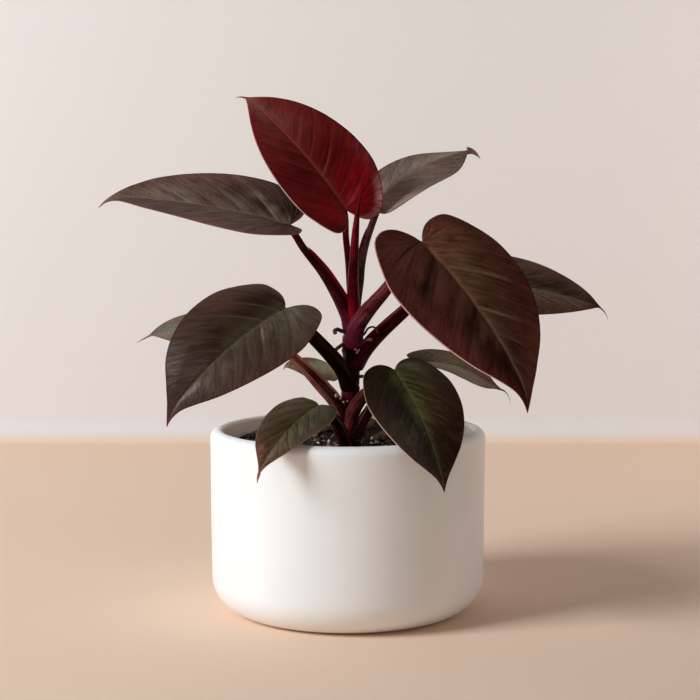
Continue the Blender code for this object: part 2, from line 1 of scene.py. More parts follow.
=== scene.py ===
import bmesh
import bpy
import numpy as np
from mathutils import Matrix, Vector


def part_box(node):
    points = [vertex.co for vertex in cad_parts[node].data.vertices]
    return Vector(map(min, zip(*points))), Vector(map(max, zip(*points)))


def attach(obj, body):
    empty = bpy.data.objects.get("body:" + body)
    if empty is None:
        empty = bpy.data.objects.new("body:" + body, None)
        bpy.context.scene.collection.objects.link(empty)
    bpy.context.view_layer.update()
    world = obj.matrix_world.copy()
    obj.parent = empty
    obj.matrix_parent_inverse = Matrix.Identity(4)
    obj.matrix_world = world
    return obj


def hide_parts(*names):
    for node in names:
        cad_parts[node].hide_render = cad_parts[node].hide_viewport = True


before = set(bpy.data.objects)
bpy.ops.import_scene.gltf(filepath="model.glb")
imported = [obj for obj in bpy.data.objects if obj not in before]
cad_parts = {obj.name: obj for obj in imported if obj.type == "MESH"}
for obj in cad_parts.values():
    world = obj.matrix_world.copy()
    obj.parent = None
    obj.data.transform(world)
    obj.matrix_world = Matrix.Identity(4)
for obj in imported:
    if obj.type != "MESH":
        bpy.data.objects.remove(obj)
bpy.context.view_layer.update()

# Looks of the potted philodendron. Tables are in millimetres and degrees, in the
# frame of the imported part: the origin is the centre of the pot's flat base, +Z is
# up and -Y is the side the broad leaves face. Colours are sRGB, 0 to 255.

MM = 0.001

# The pot, as the frame's solid, and the soil in it.
POT_RADIUS = 80.0
POT_WALL = 7.2
POT_FLOOR = 8.0
POT_FOOT_RADIUS = 79.3
POT_FOOT_FILLET = 20.0
POT_FOOT_RING = (
    (0.0, 1.2), (20.0, 1.2), (44.0, 1.2), (48.0, 1.1), (49.5, 0.35), (50.5, 0.0), (54.0, 0.0),
)
POT_RIM_OUTER = 5.0
POT_RIM_INNER = 2.2
POT_CAVITY_FILLET = 14.0
POT_SIDES = 208
SOIL_TOP = 94.0
SOIL_RINGS = 90
SOIL_SIDES = 240

# Places of loose pieces are drawn in a square, of half a side STREWN_SQUARE, and kept
# within STREWN_RADIUS and clear of the stem.
STEM_X = 2
STREWN_SQUARE = 72
STREWN_RADIUS = 70.5

# Fineness of the dressed blades and of the blades in the frame, and half thicknesses.
BLADE_ROWS = 160
BLADE_COLUMNS = 28
CAD_ROWS = 15
CAD_COLUMNS = 3
LOBE_REACH = 0.12
BLADE_HALF_THICK = 0.26
MARGIN_HALF_THICK = 0.16
DRIP_RINGS = 19
DRIP_SIDES = 10

# Rings and sides of the round pieces, the angles of their domed ends in degrees, and
# the sheath's stations, rows and columns. Points closer than WELD, in metres, merge.
PETIOLE_MESH = (110, 44)
STEM_MESH = (220, 64)
SPIKE_MESH = (150, 56)
ROOT_MESH = (70, 24)
DOME_ANGLES = (30, 60, 82)
SHEATH_STATIONS = 200
SHEATH_ROWS = 60
SHEATH_COLUMNS = 10
WELD = 2e-6

# A bark flake: its sides and layers, and the insets of the rings that close each lid.
FLAKE_SIDES = 28
FLAKE_LAYERS = 9
FLAKE_INSETS = (0.2574, 0.5148)

# Seeds of the chips and the litter, and how many slivers are strewn.
CHIP_SEED = 40
LITTER_SEED = 71
LITTER_COUNT = 112

# Half of a blade's outline: across in half widths, along in blade lengths.
BLUNT_HALF = (
    (0.0, 0.0), (0.07, -0.055), (0.22, -0.125), (0.45, -0.155), (0.70, -0.115),
    (0.90, 0.02), (1.0, 0.16), (0.985, 0.33), (0.88, 0.52), (0.70, 0.69),
    (0.46, 0.84), (0.22, 0.935), (0.075, 0.975), (0.0, 1.0),
)
TAPERED_HALF = (
    (0.0, 0.0), (0.07, -0.055), (0.22, -0.125), (0.45, -0.155), (0.70, -0.115),
    (0.90, 0.02), (1.0, 0.16), (0.96, 0.33), (0.80, 0.52), (0.565, 0.69),
    (0.30, 0.82), (0.12, 0.905), (0.04, 0.96), (0.0, 1.0),
)
# The point beside the lobe, which sinks as the lobe grows.
SHOULDER = 5

# heading: 0 is +X, 90 is +Y. pitch: up. roll turns the upper face about the midrib.
# droop and bend curve the midrib down and sideways. twist adds roll towards the tip.
# fold is the rise of each half at the midrib, cup its extra rise at the margin. curl
# hooks the tip down from curl_from on. lean makes one half wider. taper 0 is a blunt
# tip, 1 a drawn one. lobe: how far the two lobes reach back; lobe_lean makes the right
# one longer. veins: of the left, then the right half, as how far they lean to the tip,
# where each starts, from 0 at the lobes to 1 at the tip, and how strong each is.
# quilt: swelling between them. furrow: their depth. wave: waves of the margin. dressed:
# what the finished blade changes in its solid's table, and how far it is moved. drip:
# the thin end of the tip, as how far it reaches, how wide it starts and, where it shows
# its lower face, the direction across it.
LEAVES = {
    "crown_leaf": dict(
        length=88, width=55, heading=183, pitch=57, roll=-62, droop=19, bend=-24,
        twist=-21, fold=15, cup=1, curl=2, curl_from=0.80, lean=0.04, taper=0.47,
        lobe=0.82, lobe_lean=0.13,
        veins=(
            (0.08, (0.14, 0.28, 0.4, 0.475, 0.53, 0.598, 0.655, 0.7, 0.78, 0.86),
             (0.1, 0.12, 0.15, 0.2, 0.3, 0.85, 0.15, 0.8, 0.2, 0.15)),
            (0.02, (0.12, 0.24, 0.34, 0.4, 0.455, 0.505, 0.545, 0.585, 0.645, 0.7, 0.775, 0.85),
             (0.2, 0.3, 0.4, 0.7, 1, 0.6, 0.2, 1, 0.4, 0.95, 0.35, 0.2)),
        ),
        quilt=0.44, furrow=0.24, wave=0.45,
        dressed=dict(width=56.4, shift=(-0.2, 0.0, 1.0)), drip=((-5.6, 0.0, -0.7), 1.5),
    ),
    "high_left_leaf": dict(
        length=112, width=61, heading=177, pitch=16, roll=-27, droop=16, bend=-6,
        twist=-13, fold=26, cup=-24, curl=44, curl_from=0.78, lean=-0.07, taper=1.07,
        lobe=0.41, lobe_lean=-0.21,
        veins=(
            (0.08, (0.22, 0.38, 0.47, 0.56, 0.61, 0.655, 0.7, 0.775, 0.86),
             (0.2, 0.5, 0.6, 0.9, 0.6, 0.5, 1, 0.6, 0.3)),
            (0.06, (0.16, 0.28, 0.37, 0.43, 0.49, 0.575, 0.635, 0.7, 0.78, 0.86),
             (0.4, 0.5, 0.2, 0.3, 1.1, 0.8, 0.5, 0.9, 0.4, 0.2)),
        ),
        quilt=0.6, furrow=0.25, wave=0.6,
    ),
    "high_back_leaf": dict(
        length=86, width=47, heading=38, pitch=31, roll=16, droop=21, bend=-1,
        twist=3, fold=8, cup=-2, curl=103, curl_from=0.87, lean=0.0, taper=0.83,
        lobe=0.93, lobe_lean=-0.04,
        veins=(
            (0.1, (0.3, 0.42, 0.52, 0.58, 0.64, 0.7, 0.76, 0.83),
             (0.1, 0.2, 0.2, 0.3, 0.4, 0.3, 0.3, 0.2)),
            (0.14, (0.28, 0.38, 0.46, 0.53, 0.585, 0.635, 0.69, 0.75, 0.83),
             (0.3, 0.5, 0.7, 0.5, 0.9, 0.6, 1, 0.6, 0.4)),
        ),
        quilt=0.5, furrow=0.16, wave=0.5, dressed=dict(
            length=76.7, width=50.1, heading=34.6, pitch=37, roll=8, droop=29.6, bend=6,
            twist=15.5, fold=-19.5, cup=37, curl=1, taper=0.66, lobe=0.63,
            lobe_lean=0.56, shift=(0.4, -0.1, 2.0),
        ),
        drip=((6.2, -0.5, -5.4), 4.8, (-0.3, 0.0, 1.0)),
    ),
    "front_right_leaf": dict(
        length=120, width=71, heading=-38, pitch=-39, roll=31, droop=11, bend=-25,
        twist=7, fold=10, cup=-25, curl=43, curl_from=0.78, lean=-0.02, taper=1.02,
        lobe=0.73, lobe_lean=0.30,
        veins=(
            (0.05, (0.18, 0.32, 0.46, 0.545, 0.61, 0.665, 0.74, 0.82),
             (0.3, 0.3, 0.7, 1.1, 0.25, 0.9, 0.35, 0.15)),
            (0.05, (0.14, 0.27, 0.385, 0.52, 0.6, 0.66, 0.74, 0.82),
             (0.4, 0.3, 0.8, 1.1, 0.4, 1, 0.3, 0.15)),
        ),
        quilt=0.95, furrow=0.45, wave=0.6,
    ),
    "right_leaf": dict(
        length=107, width=56, heading=4, pitch=4, roll=37, droop=28, bend=-1,
        twist=5, fold=17, cup=-34, curl=32, curl_from=0.80, lean=0.0, taper=0.70,
        lobe=1.0, lobe_lean=0.0,
        veins=(
            (0.1, (0.3, 0.44, 0.54, 0.62, 0.7, 0.78, 0.86),
             (0.3, 0.5, 0.5, 0.6, 1, 0.8, 0.3)),
            (0.12, (0.3, 0.44, 0.54, 0.62, 0.68, 0.74, 0.81),
             (0.3, 0.4, 0.5, 0.6, 0.9, 1, 0.5)),
        ),
        quilt=0.7, furrow=0.3, wave=0.6, dressed=dict(
            length=97.8, width=55.8, heading=4.6, pitch=-1.9, roll=43.1, droop=17.1,
            bend=-1.6, twist=3.4, fold=1.2, cup=-26.3, curl=2, lean=-0.18, taper=0.18,
            lobe=1.25, lobe_lean=-0.09, shift=(1.9, 0.3, 3.8),
        ),
        drip=((4.4, 0.0, -7.4), 1.7),
    ),
    "front_left_leaf": dict(
        length=112, width=64, heading=-137, pitch=-22, roll=-29, droop=13, bend=20,
        twist=-15, fold=7, cup=-20, curl=32, curl_from=0.79, lean=0.11, taper=1.08,
        lobe=0.53, lobe_lean=-0.28,
        veins=(
            (0.03, (0.16, 0.26, 0.36, 0.455, 0.51, 0.553, 0.6, 0.65, 0.7, 0.76, 0.83),
             (0.2, 0.25, 0.2, 0.6, 0.2, 0.9, 0.25, 0.35, 0.25, 0.3, 0.2)),
            (0.03, (0.14, 0.24, 0.34, 0.42, 0.485, 0.547, 0.59, 0.63, 0.68, 0.74, 0.81, 0.88),
             (0.3, 0.2, 0.3, 0.3, 0.7, 1, 0.3, 0.6, 0.7, 0.4, 0.3, 0.2)),
        ),
        quilt=0.5, furrow=0.26, wave=0.5,
    ),
    "left_leaf": dict(
        length=78, width=44, heading=170, pitch=12, roll=-22, droop=25, bend=0,
        twist=-3, fold=15, cup=-23, curl=15, curl_from=0.80, lean=0.0, taper=0.40,
        lobe=1.0, lobe_lean=0.0,
        veins=(
            (0.1, (0.3, 0.42, 0.52, 0.61, 0.7, 0.79),
             (0.3, 0.5, 0.7, 0.9, 0.7, 0.4)),
            (0.1, (0.36, 0.47, 0.56, 0.65, 0.74, 0.82),
             (0.3, 0.5, 0.8, 0.7, 0.6, 0.3)),
        ),
        quilt=0.40, furrow=0.15, wave=0.35, drip=((-7.2, 0.4, -4.2), 2.8),
        dressed=dict(length=71.0, width=50.0, pitch=15.0, roll=-27.0, shift=(-0.2, 0.0, -1.8)),
    ),
    "small_back_leaf": dict(
        length=31, width=23, heading=158, pitch=39, roll=-17, droop=52, bend=-2,
        twist=-7, fold=16, cup=-17, curl=70, curl_from=0.79, lean=0.0, taper=0.34,
        lobe=0.8, lobe_lean=0.0,
        veins=(
            (0.06, (0.3, 0.46, 0.6, 0.74),
             (0.5, 0.8, 0.8, 0.4)),
            (0.06, (0.36, 0.52, 0.66, 0.78),
             (0.5, 0.9, 0.7, 0.4)),
        ),
        quilt=0.20, furrow=0.10, wave=0.15,
    ),
    "low_left_leaf": dict(
        length=71, width=35, heading=-127, pitch=-15, roll=-13, droop=21, bend=16,
        twist=-2, fold=9, cup=-22, curl=14, curl_from=0.80, lean=0.07, taper=1.12,
        lobe=0.14, lobe_lean=0.0,
        veins=(
            (0.06, (0.2, 0.33, 0.44, 0.52, 0.59, 0.66, 0.73, 0.81),
             (0.3, 0.4, 0.5, 0.9, 0.7, 1, 0.6, 0.3)),
            (0.08, (0.2, 0.34, 0.45, 0.53, 0.6, 0.67, 0.75, 0.83),
             (0.3, 0.4, 0.8, 1, 0.6, 0.8, 0.4, 0.2)),
        ),
        quilt=0.42, furrow=0.18, wave=0.35, drip=((-0.4, 0.0, -3.4), 1.8),
    ),
    "low_front_leaf": dict(
        length=89, width=51, heading=-63, pitch=-30, roll=22, droop=20, bend=-12,
        twist=4, fold=-6, cup=-22, curl=18, curl_from=0.80, lean=-0.08, taper=0.96,
        lobe=0.64, lobe_lean=0.23,
        veins=(
            (0.06, (0.14, 0.24, 0.34, 0.43, 0.515, 0.57, 0.62, 0.67, 0.74, 0.82),
             (0.12, 0.15, 0.15, 0.25, 0.45, 0.4, 0.4, 0.15, 0.2, 0.15)),
            (0.05, (0.15, 0.27, 0.38, 0.46, 0.53, 0.59, 0.65, 0.72, 0.8),
             (0.15, 0.15, 0.25, 0.25, 0.55, 0.3, 0.4, 0.3, 0.15)),
        ),
        quilt=0.4, furrow=0.25, wave=0.45,
    ),
    "low_right_leaf": dict(
        length=72, width=40, heading=30, pitch=-12, roll=18, droop=20, bend=1,
        twist=15, fold=13, cup=-17, curl=51, curl_from=0.80, lean=0.0, taper=0.58,
        lobe=0.94, lobe_lean=0.0,
        veins=(
            (0.1, (0.3, 0.44, 0.54, 0.62, 0.7, 0.79),
             (0.3, 0.6, 0.8, 0.9, 0.7, 0.4)),
            (0.1, (0.3, 0.45, 0.55, 0.64, 0.72, 0.8),
             (0.3, 0.5, 0.9, 0.8, 0.9, 0.4)),
        ),
        quilt=0.35, furrow=0.15, wave=0.35, dressed=dict(
            length=66.4, width=37.1, heading=35.8, pitch=-1.4, roll=16.3, droop=37.7,
            bend=-5.1, twist=35.8, fold=24.6, cup=-28.8, curl=-26.6, lean=0.33,
            taper=1.01, lobe=0.98, lobe_lean=0.31, shift=(-1.2, 0.2, -0.9),
        ),
        drip=((3.9, 0.0, -8.2), 1.5),
    ),
}

# Each petiole: its axis as (x, y, z, radius) from the stem outwards, the turn of its
# open side, and its sheath: where it starts and stops along the axis, how far its
# wings stand off, how far their free tips run on, and how wide they stand apart. tip
# is its radius under the foot of the blade.
PETIOLES = {
    "crown_leaf": dict(
        axis=((3.0, 1.0, 167.0, 2.8), (2.5, 2.0, 177.5, 2.6), (1.5, 2.0, 188.5, 2.3),
              (0.5, 1.0, 201.5, 2.0), (-1.0, 0.0, 215.5, 1.9)),
        tip=1.7, turn=0, sheath=(0.02, 0.40, 1.6, 3.0, 50),
    ),
    "high_left_leaf": dict(
        axis=((2.7, -0.7, 164.0, 4.5), (-0.9, -2.2, 173.0, 4.3), (-6.4, -6.2, 183.5, 3.5),
              (-14.2, -12.1, 196.5, 2.9), (-24.5, -19.0, 209.5, 2.2)),
        tip=1.8, turn=14, sheath=(0.02, 0.64, 2.2, 3.5, 66),
    ),
    "high_back_leaf": dict(
        axis=((4.0, 2.0, 166.0, 2.8), (5.0, 4.0, 177.0, 2.7), (7.0, 6.5, 191.0, 2.5),
              (8.0, 9.5, 201.0, 2.4), (11.0, 14.0, 214.0, 2.2)),
        tip=1.7, turn=-60, sheath=(0.02, 0.68, 1.7, 2.5, 55),
    ),
    "front_right_leaf": dict(
        axis=((2.5, -1.5, 155.6, 4.7), (5.8, -8.0, 165.6, 4.7), (12.5, -16.0, 176.0, 4.3),
              (21.8, -27.0, 187.7, 3.6), (31.5, -37.0, 202.5, 2.8)),
        tip=2.2, turn=0, sheath=(0.02, 0.34, 1.0, 3.0, 60),
    ),
    "right_leaf": dict(
        axis=((4.0, 0.5, 142.6, 4.5), (13.6, 4.0, 154.6, 4.3), (21.7, 7.0, 162.6, 4.0),
              (32.6, 9.0, 172.3, 3.6), (43.0, 10.0, 182.0, 2.9)),
        tip=2.3, turn=0, sheath=(0.02, 0.60, 1.3, 4.0, 48),
    ),
    "front_left_leaf": dict(
        axis=((1.0, -1.0, 130.0, 4.3), (-4.5, -6.0, 141.0, 4.0), (-11.5, -12.0, 150.0, 3.8),
              (-20.0, -21.0, 160.0, 3.6), (-27.5, -29.5, 168.5, 3.1)),
        tip=2.4, turn=0, sheath=(0.02, 0.72, 1.5, 4.0, 52),
    ),
    "left_leaf": dict(
        axis=((0.5, -2.0, 102.0, 3.2), (-7.5, -5.0, 120.0, 3.3), (-17.0, -3.0, 131.0, 3.1),
              (-27.5, 1.0, 141.5, 2.4), (-39.5, 6.0, 150.5, 1.9)),
        tip=1.7, turn=-35, sheath=(0.02, 0.66, 2.4, 4.5, 58),
    ),
    "low_front_leaf": dict(
        axis=((0.0, -5.0, 101.0, 3.3), (3.4, -9.5, 115.5, 3.6), (9.2, -18.0, 126.0, 3.3),
              (17.5, -31.0, 135.5, 2.7)),
        tip=2.2, turn=0, sheath=(0.02, 0.45, 1.2, 3.0, 55),
    ),
    "low_right_leaf": dict(
        axis=((3.0, 2.5, 94.0, 2.8), (10.5, 6.0, 110.5, 2.9), (18.0, 9.0, 121.0, 2.5),
              (29.0, 12.0, 133.0, 2.1)),
        tip=1.7, turn=0, sheath=(0.02, 0.50, 1.4, 3.0, 55),
    ),
    "low_left_leaf": dict(
        axis=((0.5, -3.0, 89.0, 3.5), (-4.0, -13.0, 103.5, 3.4), (-8.5, -27.0, 114.5, 2.8)),
        tip=1.9, turn=0, sheath=(0.02, 0.55, 1.5, 3.0, 55),
    ),
    "small_back_leaf": dict(
        axis=((1.0, 3.0, 107.0, 1.7), (-5.0, 9.5, 116.0, 1.4), (-10.0, 13.0, 125.0, 1.3)),
        tip=1.2, turn=0, sheath=(0.02, 0.40, 0.7, 1.5, 55),
    ),
}

# The round pieces, each as (x, y, z, radius), and the heights of the stem's nodes.
MAIN_STEM = (
    (2.0, 0.0, 85.0, 5.0), (1.5, 0.0, 107.0, 5.1), (1.5, 0.0, 126.5, 5.4),
    (2.3, 0.0, 145.0, 5.2), (2.5, 0.0, 151.0, 6.0), (3.0, 0.0, 159.0, 5.9),
    (3.5, 0.0, 167.0, 5.2), (3.5, 0.0, 173.0, 4.0),
)
NODE_HEIGHTS = (97.0, 105.5, 113.0, 128.5, 142.0, 150.0, 157.5, 165.5)
NEW_LEAF_SPIKE = (
    (3.2, -3.0, 169.0, 3.6), (3.2, -4.6, 179.0, 3.7), (3.2, -6.0, 193.0, 3.1),
    (3.8, -7.6, 207.0, 2.6), (4.5, -9.8, 219.0, 2.1), (5.8, -12.5, 232.0, 1.2),
    (7.5, -14.5, 242.5, 0.3),
)
AERIAL_ROOTS = {
    "aerial_root_1": ((0.5, -1.5, 161.8, 1.4), (-3.5, -3.0, 162.0, 1.25),
                      (-6.0, -3.6, 163.0, 1.2), (-7.6, -4.4, 162.2, 1.15),
                      (-7.1, -4.8, 160.8, 1.0)),
    "aerial_root_2": ((0.8, -2.0, 154.5, 1.4), (-2.5, -4.0, 154.3, 1.2),
                      (-5.0, -5.6, 153.0, 1.1), (-7.4, -6.6, 151.0, 1.1)),
    "aerial_root_3": ((5.5, -3.0, 157.5, 0.9), (9.5, -5.5, 160.5, 0.7),
                      (12.0, -7.0, 164.0, 0.6), (15.0, -8.0, 164.6, 0.6),
                      (17.5, -8.0, 161.5, 0.5)),
    "aerial_root_4": ((5.5, -3.5, 153.5, 1.1), (10.0, -6.5, 157.0, 1.0),
                      (13.5, -8.5, 157.5, 0.9)),
    "aerial_root_5": ((4.5, -1.5, 135.0, 1.1), (8.5, -4.0, 135.8, 1.0),
                      (11.0, -5.5, 135.2, 0.8)),
}
# Short pale root tips that break the skin of the stem: (x, y, z, radius).
ROOT_BUDS = (
    (4.4, -5.7, 151.6, 0.8), (5.8, -5.1, 150.6, 0.75), (5.2, -5.5, 149.6, 0.6),
    (6.5, -4.6, 151.2, 0.5), (-6.6, -7.7, 124.9, 1.05), (-4.3, -7.3, 123.6, 0.75),
    (-2.3, -6.9, 121.2, 0.65), (-0.2, -6.4, 121.6, 0.5), (-2.4, 4.4, 133.0, 0.9),
    (3.6, 5.0, 120.5, 1.0),
)

# Flakes that lean on the soil behind the stem: (x, y, length, width, thick, heading, tilt).
LEANING_FLAKES = (
    (20.0, 44.0, 13.0, 6.5, 2.0, 20.0, 0.45), (29.0, 52.0, 12.0, 6.0, 1.8, 150.0, -0.5),
    (14.0, 57.0, 11.0, 6.0, 1.8, 95.0, 0.4), (34.0, 40.0, 10.0, 5.0, 1.8, 60.0, 0.3),
    (-10.0, 55.0, 11.0, 5.5, 1.8, 10.0, 0.35), (-18.0, 44.0, 9.0, 5.0, 1.6, 130.0, -0.4),
)
# The larger chips: (length, width, thick, heading).
BARK_CHIPS = {
    "bark_chip_1": (15.0, 8.0, 3.2, 35.0),
    "bark_chip_2": (12.0, 7.0, 3.0, 110.0),
    "bark_chip_3": (13.0, 6.0, 2.8, 15.0),
    "bark_chip_4": (14.0, 7.0, 3.0, 160.0),
    "bark_chip_5": (16.0, 8.0, 3.4, 70.0),
    "bark_chip_6": (12.0, 7.0, 3.0, 95.0),
}

# Blade looks, upper face. left and right: each half's colour at its foot, middle and far
# end, seen from the petiole; partly the half's own tone and partly painted light, the
# light and sheen that half shows. outer: towards the margin. depth: contrast of its
# streaks. rib: the midrib; rib_strength and rib_width at its foot and end, the width as
# a share of the blade's. glow: the zone beside it, and glow_amount how strong it is.
# veins: side veins of the left and right half; between: how strong the weaker ones
# between them are. fold_shade: how dark the painted shade in the fold beside a vein is;
# fold_shade_width: how wide; fold_at: how far beyond the vein it lies, in gaps between
# veins, on the left and right half. tip: the drawn tip. edge: the rim of each half, its
# own colour where dark and a painted rim highlight where pale. under: the lower face,
# with under_light where its light tone isn't that of the left half. rough, gloss and
# tint: the shine. dust: pale specks. patches lie under the streaks and painted_sheen,
# painted highlights and sheen, on top of them, as (colour, strength, side, along, along
# spread, reach, reach spread), where side 1 is the right half, along runs from the foot
# to the tip and reach from the midrib to the margin. marks: single veins that stand out,
# some by their own colour, some as painted glints and some as painted shade beside them,
# as (colour, strength, side, which vein, width, reach where it starts, reach where it
# ends). A row has what PLAIN_LOOK says unless it says more.
PLAIN_LOOK = dict(
    rib_width=(0.017, 0.005), between=0.28, fold_shade_width=0.24, fold_at=(0.2, 0.2), rough=0.46,
    dust=0.0, patches=(), painted_sheen=(), marks=(),
)
DUST = (176, 168, 156)

